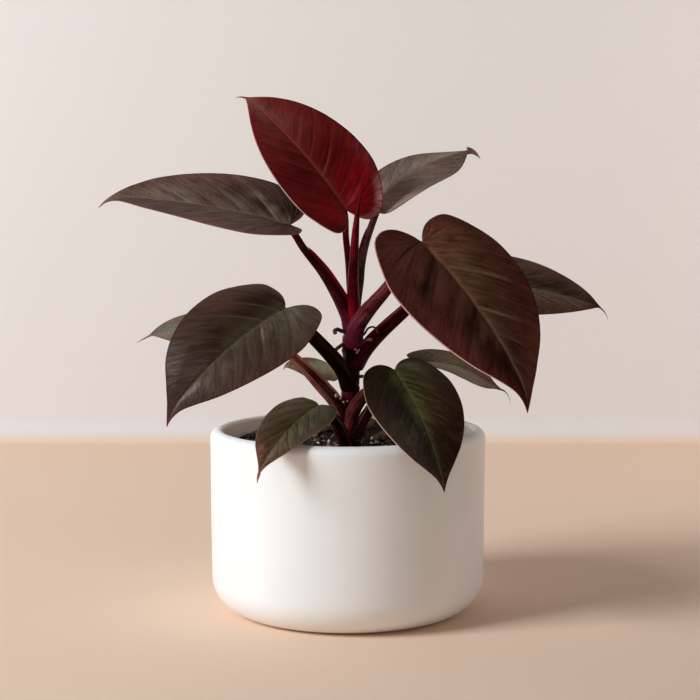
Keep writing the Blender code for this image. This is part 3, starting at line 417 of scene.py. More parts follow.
LOOKS = {
    # Its crimson foot and the crimson patches by its lobes are partly the blade's own red and
    # partly painted glow of light shining through the thin blade.
    "crown_leaf": dict(
        left=((124, 18, 22), (86, 18, 17), (84, 32, 28)),
        right=((132, 8, 18), (78, 9, 10), (84, 36, 33)),
        outer=(90, 22, 22), depth=0.32, rib=(112, 56, 54), rib_strength=(0.6, 0.6),
        rib_width=(0.022, 0.010), between=0.15, fold_shade_width=0.38,
        glow=(98, 32, 30), glow_amount=0.5, veins=((98, 40, 38), (104, 48, 45)),
        fold_shade=0.34, fold_at=(-0.28, -0.3), tip=(112, 66, 62), edge=((214, 170, 164), (52, 14, 18)),
        under=(88, 16, 24), rough=0.42, gloss=0.20, tint=(255, 120, 120),
        patches=(
            ((128, 4, 22), 0.75, 1, 0.10, 0.22, 0.55, 0.42),
            ((152, 10, 26), 0.90, -1, -0.08, 0.26, 0.35, 0.60),
            ((58, 4, 7), 0.70, 1, 0.36, 0.20, 0.55, 0.40),
            ((104, 64, 59), 0.80, 1, 0.85, 0.24, 0.15, 0.50),
            ((104, 64, 59), 0.70, -1, 0.88, 0.22, 0.15, 0.50),
            ((52, 8, 8), 0.60, -1, 0.48, 0.10, 0.35, 0.28),
        ),
        painted_sheen=(
            ((216, 150, 156), 0.95, 1, -0.04, 0.16, 0.97, 0.25),
            ((140, 50, 62), 0.50, 1, 0.22, 0.18, 0.96, 0.26),
            ((168, 60, 72), 0.35, 1, 0.03, 0.10, 0.22, 0.16),
        ),
        marks=(((168, 54, 62), 0.50, 1, 6.0, 0.25, 0.05, 0.50),),
    ),
    "high_left_leaf": dict(
        left=((62, 36, 30), (108, 86, 74), (92, 72, 62)),
        right=((40, 20, 13), (92, 70, 58), (100, 80, 69)),
        outer=(94, 66, 60), depth=0.42, rib=(128, 108, 96), rib_strength=(0.45, 0.75),
        rib_width=(0.014, 0.010),
        glow=(108, 88, 76), glow_amount=0.45, veins=((122, 104, 92), (112, 94, 82)),
        fold_shade=0.40, fold_at=(-0.2, 0.22), tip=(104, 84, 80), edge=((132, 92, 88), (66, 36, 34)),
        under=(92, 34, 38), gloss=0.07, tint=(255, 235, 225),
        patches=(
            ((34, 16, 10), 0.70, 1, 0.10, 0.16, 0.30, 0.35),
            ((34, 18, 11), 0.60, 1, 0.30, 0.10, 0.55, 0.40),
            ((102, 62, 56), 0.45, 1, 0.45, 0.30, 0.90, 0.25),
            ((92, 44, 40), 0.70, -1, 0.10, 0.26, 0.10, 0.20),
            ((70, 52, 42), 0.60, -1, 0.46, 0.10, 0.42, 0.16),
            ((78, 60, 50), 0.50, -1, 0.26, 0.12, 0.66, 0.22),
        ),
        painted_sheen=(
            ((150, 136, 126), 0.24, 1, 0.20, 0.07, 0.52, 0.16),
            ((156, 142, 132), 0.28, 1, 0.10, 0.05, 0.28, 0.20),
        ),
        # These three marks are painted glints along veins of the right half.
        marks=(
            ((122, 110, 100), 0.36, 1, 6.0, 0.13, 0.05, 0.60),
            ((104, 94, 90), 0.35, 1, 7.0, 0.14, 0.10, 0.50),
            ((122, 108, 92), 0.60, 1, 9.0, 0.15, 0.02, 0.22),
        ),
    ),
    # Its pale halves are partly painted light, lighter than the blade's own tone.
    "high_back_leaf": dict(
        left=((190, 162, 148), (134, 113, 100), (132, 112, 98)),
        right=((176, 148, 134), (136, 112, 98), (122, 98, 84)),
        outer=(112, 90, 76), depth=0.46, rib=(146, 126, 114), rib_strength=(0.3, 0.45),
        glow=(130, 110, 96), glow_amount=0.4, veins=((98, 78, 66), (136, 116, 102)),
        fold_shade=0.40, fold_at=(-0.2, -0.25), tip=(120, 96, 86), edge=((66, 40, 38), (78, 52, 46)),
        under=(96, 24, 34), under_light=(124, 60, 62), gloss=0.13, tint=(255, 235, 225),
    ),
    "front_right_leaf": dict(
        left=((98, 60, 43), (58, 34, 20), (39, 14, 8)),
        right=((72, 38, 29), (57, 29, 19), (28, 8, 4)),
        outer=(62, 25, 19), depth=0.42, rib=(112, 66, 56), rib_strength=(0.75, 0.12),
        between=0.15, glow=(72, 50, 34), glow_amount=0.35,
        veins=((84, 58, 44), (36, 13, 8)),
        fold_shade=0.62, fold_at=(-0.2, 0), tip=(38, 7, 6), edge=((52, 16, 15), (196, 150, 142)),
        under=(84, 24, 28), gloss=0.13, tint=(255, 190, 170), dust=0.05,
        patches=(
            ((26, 8, 5), 0.75, -1, 0.06, 0.05, 0.40, 0.18),
            ((92, 34, 24), 0.55, -1, -0.03, 0.08, 0.50, 0.30),
            ((88, 66, 48), 0.55, -1, 0.22, 0.14, 0.28, 0.26),
            # These two dark patches on the right half are painted shade in creases beside the
            # midrib.
            ((22, 7, 4), 0.70, 1, 0.22, 0.06, 0.55, 0.22),
            ((22, 8, 4), 0.70, 1, 0.52, 0.07, 0.38, 0.20),
            ((78, 40, 34), 0.50, 1, 0.13, 0.09, 0.45, 0.25),
            ((74, 28, 30), 0.50, 1, 0.45, 0.30, 0.85, 0.22),
        ),
        marks=(
            ((98, 70, 56), 0.65, -1, 5.0, 0.11, 0.03, 0.75),
            ((98, 70, 56), 0.60, -1, 7.0, 0.11, 0.05, 0.45),
            ((84, 48, 38), 0.50, 1, 5.5, 0.30, 0.15, 0.60),
            ((78, 50, 34), 0.40, 1, 7.45, 0.20, 0.10, 0.45),
            # These two dark marks are painted shade in the folds beside veins 5 and 7 of the right
            # half.
            ((26, 9, 6), 0.65, 1, 5.1, 0.18, 0.10, 0.80),
            ((24, 9, 5), 0.60, 1, 7.1, 0.15, 0.05, 0.60),
        ),
    ),
    "right_leaf": dict(
        left=((72, 50, 36), (68, 48, 32), (66, 46, 34)),
        right=((104, 84, 64), (104, 84, 66), (98, 74, 60)),
        outer=(80, 56, 44), depth=0.50, rib=(126, 112, 94), rib_strength=(0.35, 0.30),
        glow=(88, 74, 56), glow_amount=0.35, veins=((34, 24, 12), (126, 110, 92)),
        fold_shade=0.55, fold_at=(0.2, -0.25), tip=(56, 32, 28), edge=((42, 24, 20), (120, 60, 54)),
        under=(86, 40, 40), gloss=0.15, tint=(255, 225, 205),
        patches=(
            ((36, 28, 8), 0.80, -1, 0.56, 0.30, 0.24, 0.20),
            ((112, 108, 86), 0.60, 1, 0.60, 0.38, 0.12, 0.18),
            ((92, 64, 52), 0.50, -1, 0.60, 0.14, 0.80, 0.22),
            ((84, 54, 44), 0.50, 1, 0.66, 0.16, 0.80, 0.30),
        ),
    ),
    "front_left_leaf": dict(
        left=((84, 73, 57), (74, 60, 45), (102, 87, 79)),
        right=((38, 24, 13), (54, 40, 27), (88, 72, 64)),
        outer=(84, 60, 50), depth=0.34, rib=(104, 88, 70), rib_strength=(0.40, 0.50),
        between=0.12, glow=(80, 72, 54), glow_amount=0.45, veins=((100, 90, 74), (82, 68, 54)),
        fold_shade=0.26, fold_at=(0.2, -0.2), tip=(116, 72, 74), edge=((122, 32, 42), (60, 30, 28)),
        under=(86, 34, 36), rough=0.44, gloss=0.17, tint=(255, 225, 210), dust=0.10,
        patches=(
            ((26, 20, 8), 0.60, 1, 0.46, 0.10, 0.25, 0.30),
            ((62, 60, 34), 0.50, -1, 0.14, 0.10, 0.30, 0.25),
            ((86, 50, 42), 0.42, 1, 0.14, 0.24, 0.76, 0.34),
            ((84, 50, 46), 0.45, -1, 0.45, 0.30, 0.75, 0.30),
        ),
        painted_sheen=(
            ((176, 162, 166), 0.78, -1, 0.80, 0.16, 0.25, 0.30),
            ((150, 138, 138), 0.52, 1, 0.72, 0.20, 0.88, 0.34),
            ((132, 124, 112), 0.40, -1, -0.02, 0.08, 0.34, 0.22),
            ((158, 126, 120), 0.45, -1, 0.17, 0.03, 0.20, 0.16),
        ),
        marks=(
            ((140, 120, 88), 0.80, -1, 7.0, 0.12, 0.12, 0.40),
            ((120, 110, 98), 0.25, -1, 5.0, 0.35, 0.20, 0.60),
        ),
    ),
    "left_leaf": dict(
        left=((128, 112, 96), (126, 110, 94), (130, 110, 98)),
        right=((104, 98, 76), (104, 98, 76), (108, 100, 82)),
        outer=(116, 98, 84), depth=0.34, rib=(150, 128, 114), rib_strength=(0.3, 0.4),
        glow=(118, 112, 90), glow_amount=0.3, veins=((146, 132, 118), (122, 116, 94)),
        fold_shade=0.25, tip=(108, 78, 74), edge=((140, 100, 94), (92, 70, 62)),
        under=(130, 92, 82), rough=0.48, gloss=0.15, tint=(255, 240, 225),
    ),
    # Its very pale halves are partly painted light, lifting a leaf that lies in the shade of the
    # others.
    "small_back_leaf": dict(
        left=((188, 172, 140), (196, 182, 152), (200, 172, 156)),
        right=((160, 150, 112), (190, 186, 150), (196, 184, 158)),
        outer=(178, 170, 138), depth=0.26, rib=(200, 190, 158), rib_strength=(0.4, 0.4),
        glow=(180, 174, 138), glow_amount=0.3, veins=((198, 186, 156), (198, 190, 156)),
        fold_shade=0.15, tip=(120, 84, 80), edge=((170, 144, 128), (170, 150, 130)),
        under=(150, 128, 98), rough=0.48, gloss=0.15, tint=(255, 240, 225),
        patches=(((122, 100, 62), 0.6, 1, -0.05, 0.20, 0.25, 0.40),),
    ),
    "low_left_leaf": dict(
        left=((134, 130, 106), (112, 102, 76), (104, 84, 64)),
        right=((112, 96, 70), (90, 72, 44), (92, 62, 40)),
        outer=(88, 72, 54), depth=0.42, rib=(130, 124, 94), rib_strength=(0.35, 0.45),
        glow=(112, 106, 70), glow_amount=0.5, veins=((134, 126, 98), (122, 106, 78)),
        fold_shade=0.35, tip=(164, 92, 78), edge=((150, 108, 98), (146, 104, 94)),
        under=(104, 56, 50), gloss=0.17, tint=(255, 225, 205), dust=0.05,
        patches=(
            ((116, 106, 30), 0.60, 1, 0.44, 0.14, 0.15, 0.22),
            ((150, 88, 84), 0.70, 1, 0.78, 0.22, 0.80, 0.35),
            ((128, 84, 80), 0.32, -1, 0.60, 0.30, 0.85, 0.30),
            ((134, 130, 120), 0.55, -1, 0.10, 0.20, 0.35, 0.45),
            ((60, 44, 26), 0.50, 1, 0.20, 0.16, 0.85, 0.25),
        ),
        painted_sheen=(((176, 150, 144), 0.45, -1, 0.80, 0.16, 0.35, 0.4),),
    ),
    "low_front_leaf": dict(
        left=((64, 55, 36), (56, 41, 23), (38, 22, 12)),
        right=((22, 14, 7), (22, 14, 8), (20, 11, 7)),
        outer=(38, 22, 14), depth=0.50, rib=(84, 82, 62), rib_strength=(0.45, 0.12),
        between=0.12, glow=(58, 58, 29), glow_amount=0.75, veins=((58, 51, 34), (50, 44, 30)),
        fold_shade=0.40, fold_at=(0.22, 0.2), tip=(44, 14, 9), edge=((60, 28, 22), (184, 150, 140)),
        under=(92, 44, 42), rough=0.48, gloss=0.07, tint=(255, 215, 195), dust=0.30,
        patches=(
            ((66, 72, 38), 0.60, -1, 0.30, 0.20, 0.12, 0.20),
            ((84, 84, 66), 0.45, -1, 0.60, 0.20, 0.10, 0.16),
            ((56, 52, 44), 0.50, 1, 0.55, 0.25, 0.60, 0.40),
        ),
        painted_sheen=(((104, 104, 92), 0.45, -1, -0.01, 0.07, 0.42, 0.30),),
        marks=(
            ((80, 82, 58), 0.32, -1, 6.0, 0.15, 0.02, 0.50),
            ((80, 82, 58), 0.28, -1, 7.0, 0.15, 0.02, 0.45),
            ((80, 82, 58), 0.24, -1, 8.0, 0.15, 0.02, 0.35),
        ),
    ),
    # Its pale right half is partly painted light, lifting the half that is turned away from the
    # lamps.
    "low_right_leaf": dict(
        left=((100, 94, 72), (146, 132, 108), (122, 88, 70)),
        right=((134, 124, 98), (168, 152, 122), (100, 66, 52)),
        outer=(122, 94, 74), depth=0.46, rib=(158, 150, 120), rib_strength=(0.7, 0.6),
        rib_width=(0.022, 0.012),
        glow=(116, 112, 82), glow_amount=0.45, veins=((132, 124, 96), (130, 114, 92)),
        fold_shade=0.40, tip=(80, 60, 54), edge=((96, 72, 62), (84, 58, 52)),
        under=(108, 66, 60), rough=0.50, gloss=0.08, tint=(255, 225, 205),
        patches=(((132, 84, 76), 0.6, -1, 0.70, 0.24, 0.75, 0.35),),
    ),
}

# Skins of petioles, stem, new leaf and aerial roots. dark and light: the streaks. foot
# and top: the two ends. red: the sheath towards its edge, from red_from on along the
# petiole. dots: pale specks. bands: local colours, as (height, spread, lowest x, highest
# x, strength, colour).
SKIN_LOOKS = {
    "crown_leaf": dict(
        dark=(58, 4, 12), light=(120, 14, 32), red=(140, 14, 34), foot=(112, 10, 28),
        top=(78, 10, 18), dots=(150, 60, 76),
    ),
    "high_left_leaf": dict(
        dark=(44, 8, 17), light=(84, 22, 34), red=(168, 10, 44), foot=(100, 22, 46),
        top=(46, 20, 26), dots=(130, 76, 90),
    ),
    "high_back_leaf": dict(
        dark=(74, 40, 44), light=(116, 76, 78), red=(140, 12, 34), foot=(84, 26, 34),
        top=(112, 80, 84), dots=(150, 116, 116),
    ),
    "front_right_leaf": dict(
        dark=(58, 18, 24), light=(98, 44, 48), red=(104, 30, 36), foot=(106, 32, 56),
        top=(88, 42, 42), dots=(150, 100, 104),
    ),
    "right_leaf": dict(
        dark=(34, 8, 14), light=(88, 18, 28), red=(150, 18, 28), foot=(70, 12, 26),
        top=(88, 18, 26), dots=(150, 70, 76),
    ),
    "front_left_leaf": dict(
        dark=(12, 3, 6), light=(44, 8, 14), red=(92, 10, 30), foot=(16, 4, 8),
        top=(44, 12, 14), dots=(80, 36, 44),
    ),
    "left_leaf": dict(
        dark=(84, 38, 34), light=(134, 82, 70), red=(122, 58, 46), foot=(100, 26, 36),
        top=(106, 80, 66), dots=(150, 116, 104), red_from=0.25,
    ),
    "low_front_leaf": dict(
        dark=(46, 12, 16), light=(106, 50, 50), red=(112, 44, 40), foot=(98, 36, 44),
        top=(80, 34, 32), dots=(150, 104, 104),
    ),
    "low_right_leaf": dict(
        dark=(56, 16, 16), light=(112, 50, 42), red=(130, 48, 38), foot=(60, 14, 16),
        top=(112, 60, 48), dots=(170, 120, 106),
    ),
    "low_left_leaf": dict(
        dark=(48, 14, 14), light=(98, 44, 38), red=(104, 42, 36), foot=(70, 20, 20),
        top=(94, 48, 44), dots=(160, 114, 106),
    ),
    "small_back_leaf": dict(
        dark=(84, 62, 50), light=(116, 100, 78), red=(120, 70, 56), foot=(80, 44, 40),
        top=(110, 96, 74), dots=(150, 140, 120),
    ),
    "stem": dict(
        dark=(10, 3, 5), light=(44, 12, 18), foot=(12, 4, 6),
        top=(84, 14, 34), dots=(120, 84, 80),
        bands=(
            (125.5, 6.5, -4.5, 3.0, 0.75, (84, 22, 34)),
            (147.0, 4.5, -6.0, -1.2, 0.85, (104, 90, 78)),
        ),
    ),
    "spike": dict(
        dark=(58, 2, 10), light=(106, 11, 26), foot=(122, 6, 28),
        top=(80, 18, 22), dots=(140, 56, 66),
    ),
    "root": dict(
        dark=(48, 22, 20), light=(112, 66, 60), foot=(48, 16, 18),
        top=(128, 88, 80), dots=(156, 118, 110),
    ),
}


def linear(colour):
    """An sRGB colour, 0 to 255, as the linear RGBA that sockets take."""
    part = np.array(colour) / 255
    part = np.where(part <= 0.04045, part / 12.92, ((part + 0.055) / 1.055) ** 2.4)
    return (*part.tolist(), 1.0)


class Value:
    """A number or colour in a material. Arithmetic on it adds Math nodes."""

    def __init__(self, shader, socket):
        self.shader = shader
        self.socket = socket

    def math(self, operation, other=None):
        return self.shader.node("Math", 0, {"operation": operation}, {0: self, 1: other})

    def __add__(self, other):
        return self.math("ADD", other)

    def __sub__(self, other):
        return self.math("SUBTRACT", other)

    def __mul__(self, other):
        return self.math("MULTIPLY", other)

    def __abs__(self):
        return self.math("ABSOLUTE")

    def step(self, low, high, to_low=0.0, to_high=1.0):
        """Eased from to_low, where the value is low, to to_high, where it is high."""
        inputs = dict(enumerate((self, low, high, to_low, to_high)))
        return self.shader.node("MapRange", 0, {"interpolation_type": "SMOOTHSTEP"}, inputs)


class Shader:
    """One Principled material, with a short call for each kind of node."""

    def __init__(self, name, sockets):
        self.material = bpy.data.materials.new(name)
        self.material.use_nodes = True
        self.nodes = self.material.node_tree.nodes
        self.principled = self.nodes["Principled BSDF"]
        self.fill(self.principled, sockets)

    def fill(self, node, inputs):
        """Links sockets to Values, and sets the others to a colour or a number."""
        for label, value in inputs.items():
            socket = node.inputs[label]
            if isinstance(value, Value):
                self.material.node_tree.links.new(value.socket, socket)
            elif value is not None:
                socket.default_value = linear(value) if isinstance(value, tuple) else value

    def node(self, kind, output, settings, inputs):
        node = self.nodes.new("ShaderNode" + kind)
        for label, value in settings.items():
            setattr(node, label, value)
        self.fill(node, inputs)
        return Value(self, node.outputs[output])

    def attributes(self, names):
        return [self.node("Attribute", "Fac", {"attribute_name": name}, {}) for name in names]

    def place(self):
        return self.node("TexCoord", "Object", {}, {})

    def part(self, axis):
        return self.node("SeparateXYZ", axis, {}, {0: self.place()})

    def vector(self, x, y, z):
        return self.node("CombineXYZ", 0, {}, {0: x, 1: y, 2: z})

    def noise(self, scale, detail, vector=None, roughness=0.5):
        inputs = {"Scale": scale, "Detail": detail, "Roughness": roughness}
        inputs["Vector"] = vector or self.place()
        return self.node("TexNoise", "Fac", {}, inputs)

    def cells(self, scale):
        return self.node("TexVoronoi", "Distance", {}, {"Vector": self.place(), "Scale": scale})

    def mix(self, factor, a, b, blend="MIX"):
        settings = {"data_type": "RGBA", "blend_type": blend}
        return self.node("Mix", 2, settings, {0: factor, 6: a, 7: b})

    def shade(self, colour, factor):
        """colour times a grey factor."""
        return self.mix(1.0, colour, self.vector(factor, factor, factor), "MULTIPLY")

    def bump(self, height, strength, distance):
        inputs = {"Height": height, "Strength": strength, "Distance": distance}
        self.fill(self.principled, {"Normal": self.node("Bump", 0, {}, inputs)})

    def finish(self, colour, roughness):
        self.fill(self.principled, {"Base Color": colour, "Roughness": roughness})
        return self.material


def spline(points, count):
    """Points spread evenly along a smooth curve through the given ones."""
    points = np.asarray(points, float)
    step = np.sqrt(np.linalg.norm(np.diff(points, axis=0), axis=1))
    knots = np.concatenate([[0.0], np.cumsum(step)])
    slopes = np.diff(points, axis=0) / step[:, None]
    tangents = np.concatenate([slopes[:1], slopes])
    before, after = step[:-1, None], step[1:, None]
    tangents[1:-1] = (slopes[1:] * before + slopes[:-1] * after) / (before + after)
    at = np.linspace(0.0, knots[-1], count)
    k = np.clip(np.searchsorted(knots, at, side="right") - 1, 0, len(points) - 2)
    h = step[k][:, None]
    s = ((at - knots[k]) / step[k])[:, None]
    return (
        (2 * s**3 - 3 * s**2 + 1) * points[k]
        + (s**3 - 2 * s**2 + s) * h * tangents[k]
        + (3 * s**2 - 2 * s**3) * points[k + 1]
        + (s**3 - s**2) * h * tangents[k + 1]
    )


def unit(vectors):
    return vectors / np.linalg.norm(vectors, axis=-1, keepdims=True)


def bell(offset, width):
    """1 at no offset, falling smoothly to 0 over a few widths."""
    return np.exp(-((offset / width) ** 2))


def around(sides):
    """Evenly spaced angles of a full turn."""
    return np.linspace(0.0, 2 * np.pi, sides, endpoint=False)


def look_up(at, grid, table):
    """Rows of a table of vectors, read between its rows."""
    return np.stack([np.interp(at, grid, column) for column in table.T], -1)


def box_mm(node):
    """Low and high corner of a solid in the frame, in millimetres."""
    return [np.array(corner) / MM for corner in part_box(node)]


def piece(name, points, faces, materials, node=None, values=None, smooth=True):
    """A piece of the object from millimetre points, with its attributes and slot."""
    mesh = bpy.data.meshes.new(name)
    mesh.from_pydata((np.asarray(points) * MM).tolist(), [], [list(f) for f in faces])
    corners = np.array([i for f in faces for i in f])
    for label, numbers in (values or {}).items():
        attribute = mesh.attributes.new(label, "FLOAT", "CORNER")
        attribute.data.foreach_set("value", np.asarray(numbers, np.float32).ravel()[corners])
    for material in materials:
        mesh.materials.append(material)
    mesh.polygons.foreach_set("use_smooth", [smooth] * len(mesh.polygons))
    obj = bpy.data.objects.new(name, mesh)
    bpy.context.scene.collection.objects.link(obj)
    if node:
        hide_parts(node)
    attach(obj, "root")
    return obj


def weld(obj):
    """Merges coincident points and turns the faces of each closed body outwards."""
    work = bmesh.new()
    work.from_mesh(obj.data)
    bmesh.ops.remove_doubles(work, verts=work.verts, dist=WELD)
    bmesh.ops.dissolve_degenerate(work, dist=WELD / 4, edges=work.edges)
    bmesh.ops.recalc_face_normals(work, faces=work.faces)
    work.to_mesh(obj.data)
    work.free()


def grid_faces(rows, columns, start=0, flip=False, wrap=False):
    """Quads of a grid of points stored row by row; wrap joins its last column on."""
    width = columns if wrap else columns + 1
    a = np.arange(rows)[:, None] * width + start
    i = np.arange(columns)[None, :]
    j = (i + 1) % width
    quads = np.stack([a + i, a + j, a + width + j, a + width + i], -1).reshape(-1, 4)
    return quads[:, ::-1] if flip else quads


def capped_faces(rings, sides):
    """Faces of rings of points, wrapped round and closed at both ends."""
    last = (rings - 1) * sides
    caps = [list(range(sides))[::-1], list(range(last, last + sides))]
    return grid_faces(rings - 1, sides, wrap=True).tolist() + caps


def half_outline(leaf, side, count):
    """Outline of the right (1), left (-1) or an even (0) half, from sinus to tip."""
    blunt, tapered = np.array(BLUNT_HALF), np.array(TAPERED_HALF)
    shape = blunt + leaf["taper"] * (tapered - blunt)
    lobe = leaf["lobe"] * (1 + side * leaf["lobe_lean"])
    shape[:, 1] = np.where(shape[:, 1] < 0, shape[:, 1] * lobe, shape[:, 1])
    shape[SHOULDER, 1] -= 0.05 * (lobe - 1)
    return spline(shape, count)


def midrib_frames(leaf, along):
    """Position, direction, right side and upper normal at fractions of the midrib."""
    grid = np.linspace(-0.4, 1.05, 146)
    hook = np.clip((grid - leaf["curl_from"]) / (1 - leaf["curl_from"]), 0, None)
    pitch = np.radians(leaf["pitch"] - leaf["droop"] * grid - leaf["curl"] * hook**2)[:, None]
    heading = np.radians(leaf["heading"] + leaf["bend"] * grid)
    roll = np.radians(leaf["roll"] + leaf["twist"] * grid)[:, None]
    level = np.stack([np.cos(heading), np.sin(heading), 0 * heading], -1)
    up = np.array([0.0, 0.0, 1.0])
    tangent = level * np.cos(pitch) + up * np.sin(pitch)
    above = up * np.cos(pitch) - level * np.sin(pitch)
    beside = np.cross(tangent, above)
    normal = above * np.cos(roll) + beside * np.sin(roll)
    right = beside * np.cos(roll) - above * np.sin(roll)
    spacing = (grid[1] - grid[0]) * leaf["length"]
    steps = (tangent[1:] + tangent[:-1]) / 2 * spacing
    path = np.concatenate([np.zeros((1, 3)), np.cumsum(steps, axis=0)])
    path = path - path[np.argmin(np.abs(grid))] + leaf["base"]
    return [look_up(along, grid, table) for table in (path, tangent, right, normal)]


def blade_points(leaf, flat):
    """Middle surface of the blade at (across, along) points of the flat outline."""
    across, along = flat[..., 0], flat[..., 1]
    centre, _, right, normal = midrib_frames(leaf, along)
    side = np.where(across < 0, -1.0, 1.0)
    distance = np.abs(across) * leaf["width"] / 2 * (1 + side * leaf["lean"])
    fold = np.radians(leaf["fold"])
    cup = np.radians(leaf["cup"]) / (leaf["width"] / 2)
    outward = (np.sin(fold + cup * distance) - np.sin(fold)) / cup
    upward = (np.cos(fold) - np.cos(fold + cup * distance)) / cup
    return centre + right * (outward * side)[..., None] + normal * upward[..., None]


def blade_grid(leaf, side, rows, reach):
    """Flat points in rows that follow the side veins from midrib to margin."""
    edge = half_outline(leaf, side, rows + 1)
    even = half_outline(leaf, 0, rows + 1)[:, 1]
    root = np.clip((even - LOBE_REACH) / (1 - LOBE_REACH), 0, 1) ** 1.4
    across = edge[:, :1] * reach
    along = root[:, None] + (edge[:, 1] - root)[:, None] * reach**1.5
    return np.stack([across * side, along], -1)


def blade_normals(leaf, flat, middle):
    """Upper normals of the blade, shared by both halves along the midrib."""
    side = np.where(flat[..., :1] < 0, -1.0, 1.0)
    over = blade_points(leaf, flat + side * [0.002, 0.0]) - middle
    along = blade_points(leaf, flat + [0.0, 0.002]) - middle
    normal = np.cross(over, along) * side
    on_rib = np.abs(flat[..., :1]) < 1e-9
    return unit(np.where(on_rib, midrib_frames(leaf, flat[..., 1])[3], normal))


def seated_leaf(name):
    """The leaf as it is dressed, with its base where the frame holds its solid."""
    leaf = {**LEAVES[name], "base": np.zeros(3)}
    reach = np.linspace(0.0, 1.0, CAD_COLUMNS + 1)
    flats = [blade_grid(leaf, side, CAD_ROWS, reach) for side in (1, -1)]
    points = np.concatenate([blade_points(leaf, flat).reshape(-1, 3) for flat in flats])
    low, high = box_mm(name + "_blade")
    base = (low + high) / 2 - (points.min(0) + points.max(0)) / 2
    dressed = {"shift": (0.0, 0.0, 0.0), **leaf.get("dressed", {})}
    return {**leaf, **dressed, "base": base + dressed["shift"]}


def vein_count(leaf, vein, reach, side):
    """Counts one half's side veins up from its foot: whole numbers fall on a vein."""
    slant, places, _ = leaf["veins"][int(side > 0)]
    stops = (-0.3, 0.02, *places, 0.97, 1.1)
    sway = 0.07 * np.sin(2 * np.pi * (1.7 * vein + 0.3 * side + leaf["length"] / 7))
    return np.interp(vein - slant * reach**0.6, stops, np.arange(len(stops))) + sway


def vein_vigour(leaf, count, side):
    """How strong the side veins are at a count, with weak ones at both ends."""
    strengths = (0.1, 0.1, *leaf["veins"][int(side > 0)][2], 0.1, 0.1)
    return np.interp(count, np.arange(len(strengths)), strengths)


def blade_relief(leaf, flat, vein, reach, side):
    """Rise of the whole blade, groove of its upper and ridge of its lower face."""
    count = vein_count(leaf, vein, reach, side)
    near = np.abs(2 * (count - np.floor(count)) - 1)
    furrow = np.clip((near - 0.74) / 0.26, 0, 1) ** 2
    along = flat[..., 1]
    calm = np.clip((1 - along) / 0.35, 0, 1) * (0.35 + 0.65 * np.clip(vein / 0.45, 0, 1) ** 2)
    vigour = 0.25 + 1.1 * vein_vigour(leaf, count, side)
    pillow = 1 - near**2
    swell = leaf["quilt"] * (pillow - 0.6) * np.sin(np.pi * reach**0.62) * calm * vigour
    wave = leaf["wave"] * reach**2 * np.sin(2 * np.pi * (2.3 * vein + 0.2 * side)) * calm
    from_rib = np.abs(flat[..., 0]) * leaf["width"] / 2
    width = leaf["width"] / 60 * (1.5 - 1.15 * np.clip(along, 0, 1))
    rib = bell(from_rib, width) * np.clip(1.05 - along, 0, 1) ** 0.6
    keel = 0.9 * bell(from_rib / width, 1.25) * np.clip(1 - along, 0, 1)
    fade = (reach**0.4 * (1 - reach) ** 0.8) * calm * vigour
    groove = leaf["furrow"] * furrow * fade
    return swell + wave, -0.45 * rib - groove, -keel - 0.5 * groove


def blade_half(leaf, side):
    """Points and attributes of one half: upper face, lower face and rim."""
    t = np.linspace(0.0, 1.0, BLADE_COLUMNS + 1)
    reach = 0.6 * t + 0.4 * (0.5 - 0.5 * np.cos(np.pi * t))
    flat = blade_grid(leaf, side, BLADE_ROWS, reach)
    vein, reach = np.meshgrid(np.linspace(0.0, 1.0, BLADE_ROWS + 1), reach, indexing="ij")
    middle = blade_points(leaf, flat)
    normal = blade_normals(leaf, flat, middle)
    rise, upper, lower = blade_relief(leaf, flat, vein, reach, side)
    count = vein_count(leaf, vein, reach, side)
    half = BLADE_HALF_THICK + (MARGIN_HALF_THICK - BLADE_HALF_THICK) * reach**3
    top = middle + normal * (rise + upper + half)[..., None]
    bottom = middle + normal * (rise + lower - half)[..., None]
    outward = unit(middle[:, -1] - middle[:, -2] + 1e-9)
    rim = (top[:, -1] + bottom[:, -1]) / 2 + outward * MARGIN_HALF_THICK
    named = {
        "strand": vein - leaf["veins"][int(side > 0)][0] * reach**0.6,
        "count": count,
        "vigour": vein_vigour(leaf, np.round(count), side),
        "reach": reach,
        "along": flat[..., 1],
        "across": flat[..., 0] * leaf["width"] / 2,
        "side": np.full(reach.shape, float(side)),
    }
    values = {
        label: np.concatenate([a.ravel(), a.ravel(), a[:, -1]]) for label, a in named.items()
    }
    return np.concatenate([top.reshape(-1, 3), bottom.reshape(-1, 3), rim]), values


def drip_tip(leaf):
    """The thin drawn end of the tip: a flattened strip that bends as it tapers."""
    reach, width, *across = leaf["drip"]
    (start, corner), (_, tangent), (right, _), _ = midrib_frames(leaf, np.array([0.965, 1.0]))
    t = np.linspace(0.0, 1.0, DRIP_RINGS)[:, None]
    lead = corner + tangent * np.linalg.norm(reach) * 0.35
    path = start * (1 - t) ** 2 + 2 * lead * t * (1 - t) + (corner + reach) * t**2
    flow = unit(np.gradient(path, axis=0))
    over = np.array(across[0]) if across else right
    over = unit(over - flow * (flow @ over)[:, None])
    above = np.cross(flow, over)
    phi = around(DRIP_SIDES)
    wide = width / 2 * (1.02 - t) ** 0.85 * np.cos(phi)
    thick = 0.24 * (1.05 - t) ** 0.5 * np.sin(phi)
    rings = path[:, None] + over[:, None] * wide[..., None] + above[:, None] * thick[..., None]
    return rings.reshape(-1, 3), capped_faces(DRIP_RINGS, DRIP_SIDES)


